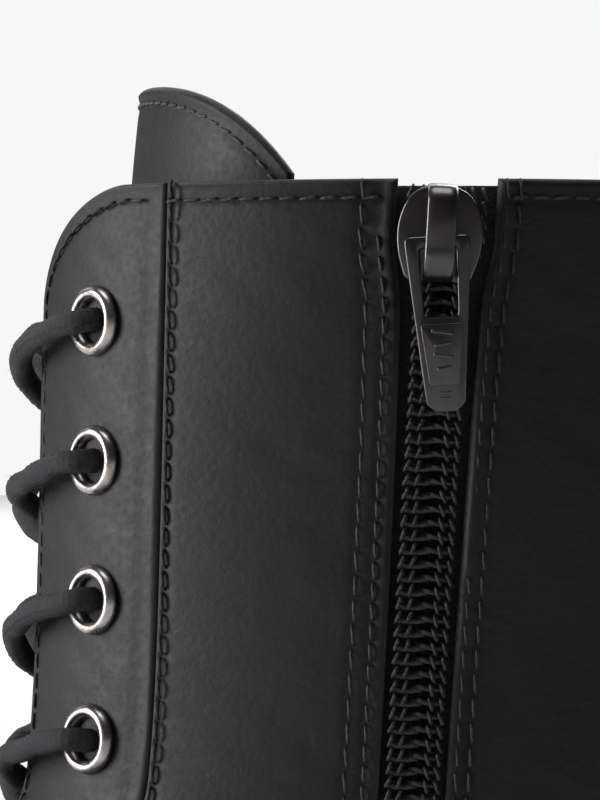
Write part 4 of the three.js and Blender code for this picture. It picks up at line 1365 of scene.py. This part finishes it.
def tapeRelief(field):
    return 0.05 * np.sin(field["z"] * 2 * math.pi / 1.1)


def buildTapes():
    tapeGap = profile((223.5, 0.5), (229.5, 2.6), (240, 2.6))

    def inner(height):
        return np.where(np.asarray(height) < 223.5, 0.5, tapeGap(height))

    half = zipLine["tapeHalf"]
    for name, side in (("front", -1), ("rear", 1)):
        near = atZip(lambda h: side * inner(h))
        far = atZip(lambda h: side * half)
        place = between(far, near, 69, 239) if side < 0 else between(near, far, 69, 239)
        piece = skin(f"zip_tape_{name}_cloth", tapeCloth, upper, place, (15.5, 170), 0.8,
                     zipLine["tapeDepth"], 0.8, 0.3, tapeRelief)
        settlePiece(piece, "zip_textile", f"zip_tape_{name}")
    place = between(atZip(lambda h: -14.5), atZip(lambda h: 14.5), 69, 239)
    piece = skin("zip_guard_leather", leather, upper, place, (29, 170), 1.5, 6.1, 1.0, 0.4)
    settlePiece(piece, "leather", "zip_guard")


def slab(outlinePoints, low, high, bevel):
    # A flat shape, drawn as (to the heel, up), given its thickness and rounded edges.
    segments = 3
    flat = np.array(outlinePoints, float)
    after = np.roll(flat, -1, axis=0) - flat
    area = np.sum(flat[:, 0] * np.roll(flat[:, 1], -1) - np.roll(flat[:, 0], -1) * flat[:, 1])
    if area < 0:
        flat = flat[::-1]
        after = np.roll(flat, -1, axis=0) - flat
    after /= np.maximum(np.linalg.norm(after, axis=1, keepdims=True), 1e-9)
    before = np.roll(after, 1, axis=0)
    normal = np.stack([after[:, 1] + before[:, 1], -after[:, 0] - before[:, 0]], -1)
    normal /= np.maximum((normal**2).sum(1, keepdims=True) / 2, 0.35)
    rings = []
    for k in range(segments + 1):
        angle = math.pi / 2 * k / segments
        rings.append((bevel * (1 - math.sin(angle)), low + bevel * (1 - math.cos(angle))))
    for k in range(segments + 1):
        angle = math.pi / 2 * k / segments
        rings.append((bevel * (1 - math.cos(angle)), high - bevel * (1 - math.sin(angle))))
    return flat, normal, rings


def slabParts(shape, low, high, bevel, hole=None):
    flat, normal, rings = slab(shape, low, high, bevel)
    count = len(flat)
    points, faces = [], []
    for inset, out in rings:
        moved = flat - normal * inset
        points += [(out, y, z) for y, z in moved]
    for j in range(len(rings) - 1):
        for i in range(count):
            k = (i + 1) % count
            faces.append((j * count + i, j * count + k, (j + 1) * count + k, (j + 1) * count + i))
    last = (len(rings) - 1) * count
    if hole is None:
        faces.append(tuple(reversed(range(count))))
        faces.append(tuple(last + i for i in range(count)))
        return np.array(points), faces
    start = len(points)
    inFlat, inNormal, _ = slab(hole, low, high, bevel)
    for inset, out in rings:
        moved = inFlat + inNormal * inset
        points += [(out, y, z) for y, z in moved]
    for j in range(len(rings) - 1):
        for i in range(count):
            k = (i + 1) % count
            faces.append((start + j * count + i, start + (j + 1) * count + i,
                          start + (j + 1) * count + k, start + j * count + k))
    for i in range(count):
        k = (i + 1) % count
        faces.append((i, start + i, start + k, k))
        faces.append((last + i, last + k, start + last + k, start + last + i))
    return np.array(points), faces


def smoothOutline(corners, spacing=0.25):
    # Corners are (y, z, radius); each is rounded with its own radius.
    found = []
    count = len(corners)
    for i in range(count):
        here = np.array(corners[i][:2], float)
        before = np.array(corners[i - 1][:2], float)
        after = np.array(corners[(i + 1) % count][:2], float)
        toBefore, toAfter = np.linalg.norm(before - here), np.linalg.norm(after - here)
        reach = min(corners[i][2], toBefore * 0.49, toAfter * 0.49)
        start = here + (before - here) / toBefore * reach
        end = here + (after - here) / toAfter * reach
        bends = 7 if reach > 0.3 else 3
        for t in np.linspace(0, 1, bends):
            found.append(start * (1 - t) ** 2 + here * 2 * t * (1 - t) + end * t * t)
    return found


def matched(outerPoints, innerPoints, count=72):
    # Two closed outlines brought to the same number of points, matched by direction
    # from the inner one's middle.
    middle = np.mean(innerPoints, axis=0)

    def around(points):
        points = np.array(list(points) + [points[0]], float)
        length = np.concatenate([[0], np.cumsum(np.linalg.norm(np.diff(points, axis=0), axis=1))])
        even = np.linspace(0, length[-1], 1600, endpoint=False)
        dense = np.stack([np.interp(even, length, points[:, k]) for k in range(2)], -1)
        angle = np.arctan2(dense[:, 1] - middle[1], dense[:, 0] - middle[0])
        return dense, angle

    dense, angle = around(innerPoints)
    start = np.argmin(np.abs(angle + math.pi / 2))
    dense = np.roll(dense, -start, axis=0)
    inner = dense[np.linspace(0, len(dense), count, endpoint=False).astype(int)]
    innerAngle = np.arctan2(inner[:, 1] - middle[1], inner[:, 0] - middle[0])
    outerDense, outerAngle = around(outerPoints)
    outer = []
    for value in innerAngle:
        gapTo = np.abs((outerAngle - value + math.pi) % (2 * math.pi) - math.pi)
        outer.append(outerDense[np.argmin(gapTo)])
    return np.array(outer), inner


sliderCut = {"length": 13.5, "width": 11.9, "plate": 1.2, "shield": 0.4,
             "crownOut": 5.3, "crownWidth": 4.1,
             "pivot": 2.9, "pin": 0.65, "aside": 0.8, "flatten": 0.5}
pullerCut = {"length": 24.0, "thick": 1.6, "shoulder": 4.6, "foot": 2.6,
             "window": 2.55, "windowEnd": -10.2, "hangs": 6.5, "aside": 1.15, "low": 1.3}


def rimWear(piece, width):
    # Marks how near each point is to a sharp edge, for the wear of the enamel.
    mesh = piece.data
    counts = np.zeros(len(mesh.vertices))
    normals = {}
    for face in mesh.polygons:
        for i in face.vertices:
            normals.setdefault(i, []).append(np.array(face.normal))
    for i, found in normals.items():
        total = np.mean(found, axis=0)
        counts[i] = min((1 - np.linalg.norm(total)) * width, 1)
    rim = mesh.attributes.get("rim") or mesh.attributes.new("rim", "FLOAT", "POINT")
    rim.data.foreach_set("value", counts.astype(np.float32))


def buildSlider():
    s = sliderCut
    half, top = s["width"] / 2, s["length"] / 2
    shield = smoothOutline([
        (-half + 1.5, -top, 1.0), (half - 1.5, -top, 1.0), (half - 0.1, -top + 4.2, 2.0),
        (half, top - 5.4, 3.0), (half - 1.6, top - 1.2, 3.4), (0, top + 0.2, 5.0),
        (-half + 1.6, top - 1.2, 3.4), (-half, top - 5.4, 3.0), (-half + 0.1, -top + 4.2, 2.0),
    ])
    back = -(zipLine["tapeDepth"] + 0.8 + 0.4 + s["plate"])
    parts = [slabParts(shield, s["shield"], s["shield"] + s["plate"], 0.38)]
    parts.append(slabParts(shield, back, back + s["plate"], 0.3))
    neck = smoothOutline([(0, -1, 0.3), (1.4, 1, 0.4), (1.4, 5.5, 0.3), (-1.4, 5.5, 0.3), (-1.4, 1, 0.4)])
    parts.append(slabParts(neck, back + 0.5, s["shield"] + 0.4, 0.1))
    # The bridge that the puller hangs on, an arched bar with rounded edges.
    rise = s["shield"] + s["plate"]
    crown = s["crownOut"]
    arch = [
        (-top + 0.5, rise - 0.3), (-top + 0.6, rise + 1.1), (-top + 1.5, rise + 2.2),
        (-top + 3.2, crown - 0.5), (-top + 5.0, crown - 0.42), (top - 4.2, crown - 0.42),
        (top - 1.9, crown - 0.9), (top - 0.8, rise + 1.6), (top - 0.5, rise - 0.3),
    ]
    line = curveThrough([(out, 0, z) for z, out in arch], 0.4)
    sides = 16
    turn = np.linspace(0, 2 * math.pi, sides, endpoint=False)
    square = (np.abs(np.cos(turn)) ** 5 + np.abs(np.sin(turn)) ** 5) ** (-1 / 5)
    points, faces, _ = tubeParts(line, square[None], sides, up=(0, 0, 1))
    along = np.gradient(line, axis=0)
    along /= np.linalg.norm(along, axis=1, keepdims=True)
    offset = points.reshape(len(line), sides, 3) - line[:, None]
    offset[..., 1] *= s["crownWidth"] / 2
    other = np.cross(along, (0, 1, 0))
    through = (offset * other[:, None]).sum(-1, keepdims=True)
    offset -= other[:, None] * through * s["flatten"]
    parts.append(((line[:, None] + offset).reshape(-1, 3), faces))
    points, faces, _ = joined(parts)
    piece = makeMesh("slider_body", fromZip(points - np.array([0, s["aside"], 0])), faces, enamel)
    rimWear(piece, 5)
    settlePiece(piece, "black_enamel", "zip_slider", body="slider")


def buildPuller():
    p = pullerCut
    foot, end = p["foot"], -p["length"] + 0.8
    shape = smoothOutline([
        (-p["shoulder"] + 0.5, 0.9, 0.7), (-p["shoulder"], 0.3, 0.5), (-foot - 0.1, end + 0.9, 1.2),
        (-foot + 0.8, end, 0.9), (foot - 0.8, end, 0.9), (foot + 0.1, end + 0.9, 1.2),
        (p["shoulder"], 0.3, 0.5), (p["shoulder"] - 0.5, 0.9, 0.7),
    ])
    w = p["window"]
    hole = smoothOutline([(-w, -0.75, 0.6), (w, -0.75, 0.6), (w - 0.25, p["windowEnd"], 0.5),
                          (-w + 0.25, p["windowEnd"], 0.5)])
    outer, inner = matched(shape, hole)
    low = sliderCut["pivot"] - p["thick"] / 2
    high = low + p["thick"]
    parts = [slabParts(outer, low, high, 0.32, inner)]
    pinLine = [(sliderCut["pivot"], y, 0) for y in np.linspace(-w - 0.5, w + 0.5, 7)]
    parts.append(tubeParts(pinLine, sliderCut["pin"], 14)[:2])
    # A raised panel with a plain relief of bars, and a stop bar below it.
    panelTop, panelLow = p["windowEnd"] - 0.9, p["windowEnd"] - 9.3
    panel = smoothOutline([(-2.95, panelTop, 0.5), (2.95, panelTop, 0.5),
                           (2.1, panelLow, 0.5), (-2.1, panelLow, 0.5)])
    parts.append(slabParts(panel, high - 0.1, high + 0.22, 0.14))
    for level, wide, lean in ((0.9, 1.5, 0.25), (2.5, 1.15, -0.2), (4.1, 1.35, 0.2), (5.8, 0.95, -0.15)):
        z = panelTop - level
        bar = smoothOutline([(-wide, z + lean, 0.2), (wide, z - lean, 0.2),
                             (wide, z - lean - 0.55, 0.2), (-wide, z + lean - 0.55, 0.2)])
        parts.append(slabParts(bar, high + 0.15, high + 0.42, 0.12))
    for level in (0.85, 1.6):
        z = panelLow - level
        bar = smoothOutline([(-0.8, z, 0.15), (0.8, z, 0.15),
                             (0.8, z - 0.3, 0.15), (-0.8, z - 0.3, 0.15)])
        parts.append(slabParts(bar, high - 0.05, high + 0.18, 0.1))
    points, faces, _ = joined(parts)
    # It hangs a little low on its bridge and swung a few degrees aside.
    swing = math.radians(p["hangs"])
    y = points[:, 1] * math.cos(swing) - points[:, 2] * math.sin(swing)
    z = points[:, 1] * math.sin(swing) + points[:, 2] * math.cos(swing)
    points = np.stack([points[:, 0], y - p["aside"], z - p["low"]], -1)
    piece = makeMesh("puller_body", fromZip(points), faces, enamel)
    rimWear(piece, 5)
    settlePiece(piece, "black_enamel", "zip_puller", body="puller")


coilThread = threadFinish("zip_coil_thread", grey(0.004, 0.0, 0.06), grey(0.018, 0.0, 0.06), 8000.0)
buildChain()
buildTapes()
buildSlider()
buildPuller()
print("boot: zip closed")


sole = {"reach": 4.0, "gap": 0.3, "board": 2.4, "bed": 6.0, "bedReach": -9.4, "blunt": 0.02}


def solePiece(name, finish, reach, bottom, top, lip, crown):
    # A plate with the plan of the sole, its rim rounded, between two levels given along its length.
    rows, columns = 110, 34
    turn = np.linspace(sole["blunt"], 3 - sole["blunt"], rows)
    y = yAtTurn(turn, featherHeight, reach)
    half = (halfWidth(y, featherHeight) + reach) * roundness(turn)
    share = np.sin(np.linspace(-math.pi / 2, math.pi / 2, columns))
    x = toeTurn(y)[:, None] + half[:, None] * share[None]
    fromEnds = np.minimum(y - y[0], y[-1] - y)[:, None] + 0.2
    fromRim = np.minimum(half[:, None] * (1 - np.abs(share[None])), fromEnds)
    near = lip - np.minimum(fromRim, lip)
    drop = lip - np.sqrt(np.maximum(lip**2 - near**2, 0))
    middle = crown * np.cos(share[None] * math.pi / 2) * np.ones_like(x)
    long = np.broadcast_to(y[:, None], x.shape)
    upperSide = np.stack([x, long, top(long) - drop + middle], -1)
    lowerSide = np.stack([x, long, bottom(long) + drop], -1)
    points = np.concatenate([upperSide.reshape(-1, 3), lowerSide.reshape(-1, 3)])
    return makeMesh(name, points, closedSheet(rows, columns).tolist(), finish)


def weltRing(reach):
    turn = np.linspace(sole["blunt"], 3 - sole["blunt"], 150)
    y = yAtTurn(turn, featherHeight, reach)
    half = (halfWidth(y, featherHeight) + reach) * roundness(turn)
    right = np.stack([toeTurn(y) + half, y], -1)
    left = np.stack([toeTurn(y) - half, y], -1)
    return np.concatenate([right, left[::-1]])


def buildSole():
    # The welt: a ribbed strip round the foot, rounded outside, with its row of heavy stitches.
    s = sole
    rings = []
    edge = [(0.9, 0.0), (0.35, -0.12), (0.08, -0.45), (0.0, -0.9), (0.12, -1.5), (0.0, -2.1),
            (0.1, -2.8), (0.45, -3.2)]
    edge = [(s["reach"] - inset, down) for inset, down in edge]
    for reach, down in edge + [(-9.0, -3.3), (-9.0, 0.0), (1.2, 0.0)]:
        ring = weltRing(reach)
        rings.append(np.stack([ring[:, 0], ring[:, 1], featherAt(ring[:, 1]) - s["gap"] + down], -1))
    count = len(rings[0])
    points = np.concatenate(rings)
    faces = []
    for j in range(len(rings)):
        for i in range(count):
            k, n = (i + 1) % count, (j + 1) % len(rings)
            faces.append((j * count + i, n * count + i, n * count + k, j * count + k))
    piece = makeMesh("welt_strip", points, faces, rubber)
    settlePiece(piece, "rubber", "welt")
    ring = weltRing(2.3)
    line = np.stack([ring[:, 0], ring[:, 1], featherAt(ring[:, 1]) - s["gap"]], -1)
    line = np.concatenate([line, line[:1]])
    out = np.tile(np.array([0.0, 0.0, 1.0]), (len(line), 1))
    stitch = stitchPiece(4.6, 0.5, 0.42)
    row = setInRows("welt_stitches", [(line, out)], stitch, 5.4, weltThread, 0.06, 0.03, 21)
    settlePiece(row, "zip_textile")

    bed = 2 * s["gap"] + s["board"]
    piece = solePiece("footbed_pad", bedCloth, s["bedReach"], lambda y: featherAt(y) + bed,
                      lambda y: featherAt(y) + bed + s["bed"], 2.2, crown=-0.6)
    settlePiece(piece, "footbed_cloth", "footbed")


buildSole()
carried = {
    "outsole": rubber,
    "heel_block": rubber,
    "midsole": rubber,
    "shank": steelLook,
    "steel_toe_cap": steelLook,
    "puncture_plate": bedCloth,
    "insole_board": cutEdge,
    "heel_counter": cutEdge,
    "zip_bottom_stop": gunmetal,
}
for name, finish in carried.items():
    dress(name, finish)
print("boot: soled")


view = {"far": 0.6, "y": 0.0646, "z": 0.2096, "field": 0.1096}


def areaLight(name, place, aim, size, power):
    light = bpy.data.lights.new(name, "AREA")
    light.shape = "RECTANGLE"
    light.size, light.size_y = size
    light.energy = power
    lamp = bpy.data.objects.new(name, light)
    lamp.location = place
    lamp.rotation_euler = (Vector(aim) - Vector(place)).to_track_quat("-Z", "Y").to_euler()
    bpy.context.scene.collection.objects.link(lamp)


def buildStudio():
    camera = bpy.data.cameras.new("camera")
    camera.sensor_fit = "VERTICAL"
    camera.sensor_height = 36
    camera.lens = 36 * view["far"] / view["field"]
    camera.clip_start = 0.01
    eye = bpy.data.objects.new("camera", camera)
    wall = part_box("zip_chain_front")[1].x
    eye.location = (wall + view["far"], view["y"], view["z"])
    eye.rotation_euler = (math.pi / 2, 0, math.pi / 2)
    bpy.context.scene.collection.objects.link(eye)
    bpy.context.scene.camera = eye

    floorPaint = Finish("pale_floor", Roughness=0.9, Specular_IOR_Level=0.2)
    paint = floorPaint.noise(3.0, 2)
    floorPaint.feed(Base_Color=floorPaint.mix(paint, grey(0.86), grey(0.9)))
    size = 9.0
    floor = bpy.data.meshes.new("floor")
    corners = [(-size, -size, 0), (size, -size, 0), (size, size, 0), (-size, size, 0)]
    floor.from_pydata(corners, [], [(0, 1, 2, 3)])
    floor.materials.append(floorPaint.material)
    ground = bpy.data.objects.new("floor", floor)
    bpy.context.scene.collection.objects.link(ground)

    world = bpy.data.worlds.new("studio")
    bpy.context.scene.world = world
    world.use_nodes = True
    sky = world.node_tree
    back = sky.nodes["Background"]
    seen = sky.nodes.new("ShaderNodeLightPath")
    blend = sky.nodes.new("ShaderNodeMix")
    blend.inputs[2].default_value = 0.05
    blend.inputs[3].default_value = 0.93
    sky.links.new(seen.outputs["Is Camera Ray"], blend.inputs[0])
    sky.links.new(blend.outputs[0], back.inputs["Strength"])
    back.inputs["Color"].default_value = (1, 1, 1, 1)
    bpy.context.scene.view_settings.view_transform = "Standard"

    areaLight("key", (0.16, -1.0, 0.42), (0.03, 0.03, 0.2), (0.45, 0.8), 19)
    areaLight("top", (0.1, 0.1, 1.2), (0, 0.06, 0.15), (0.7, 0.7), 1.5)
    areaLight("rear", (-0.9, 0.5, 0.7), (0, 0.05, 0.12), (0.7, 0.7), 6)
    areaLight("sweep_wash", (-4.8, 0, 3.0), (-4.8, 0, 0), (5, 8), 260)
    sweep = bpy.data.lights.new("sweep", "SUN")
    sweep.energy = 1.1
    sweep.angle = 0.6
    overhead = bpy.data.objects.new("sweep", sweep)
    bpy.context.scene.collection.objects.link(overhead)


buildStudio()
print("boot: done")
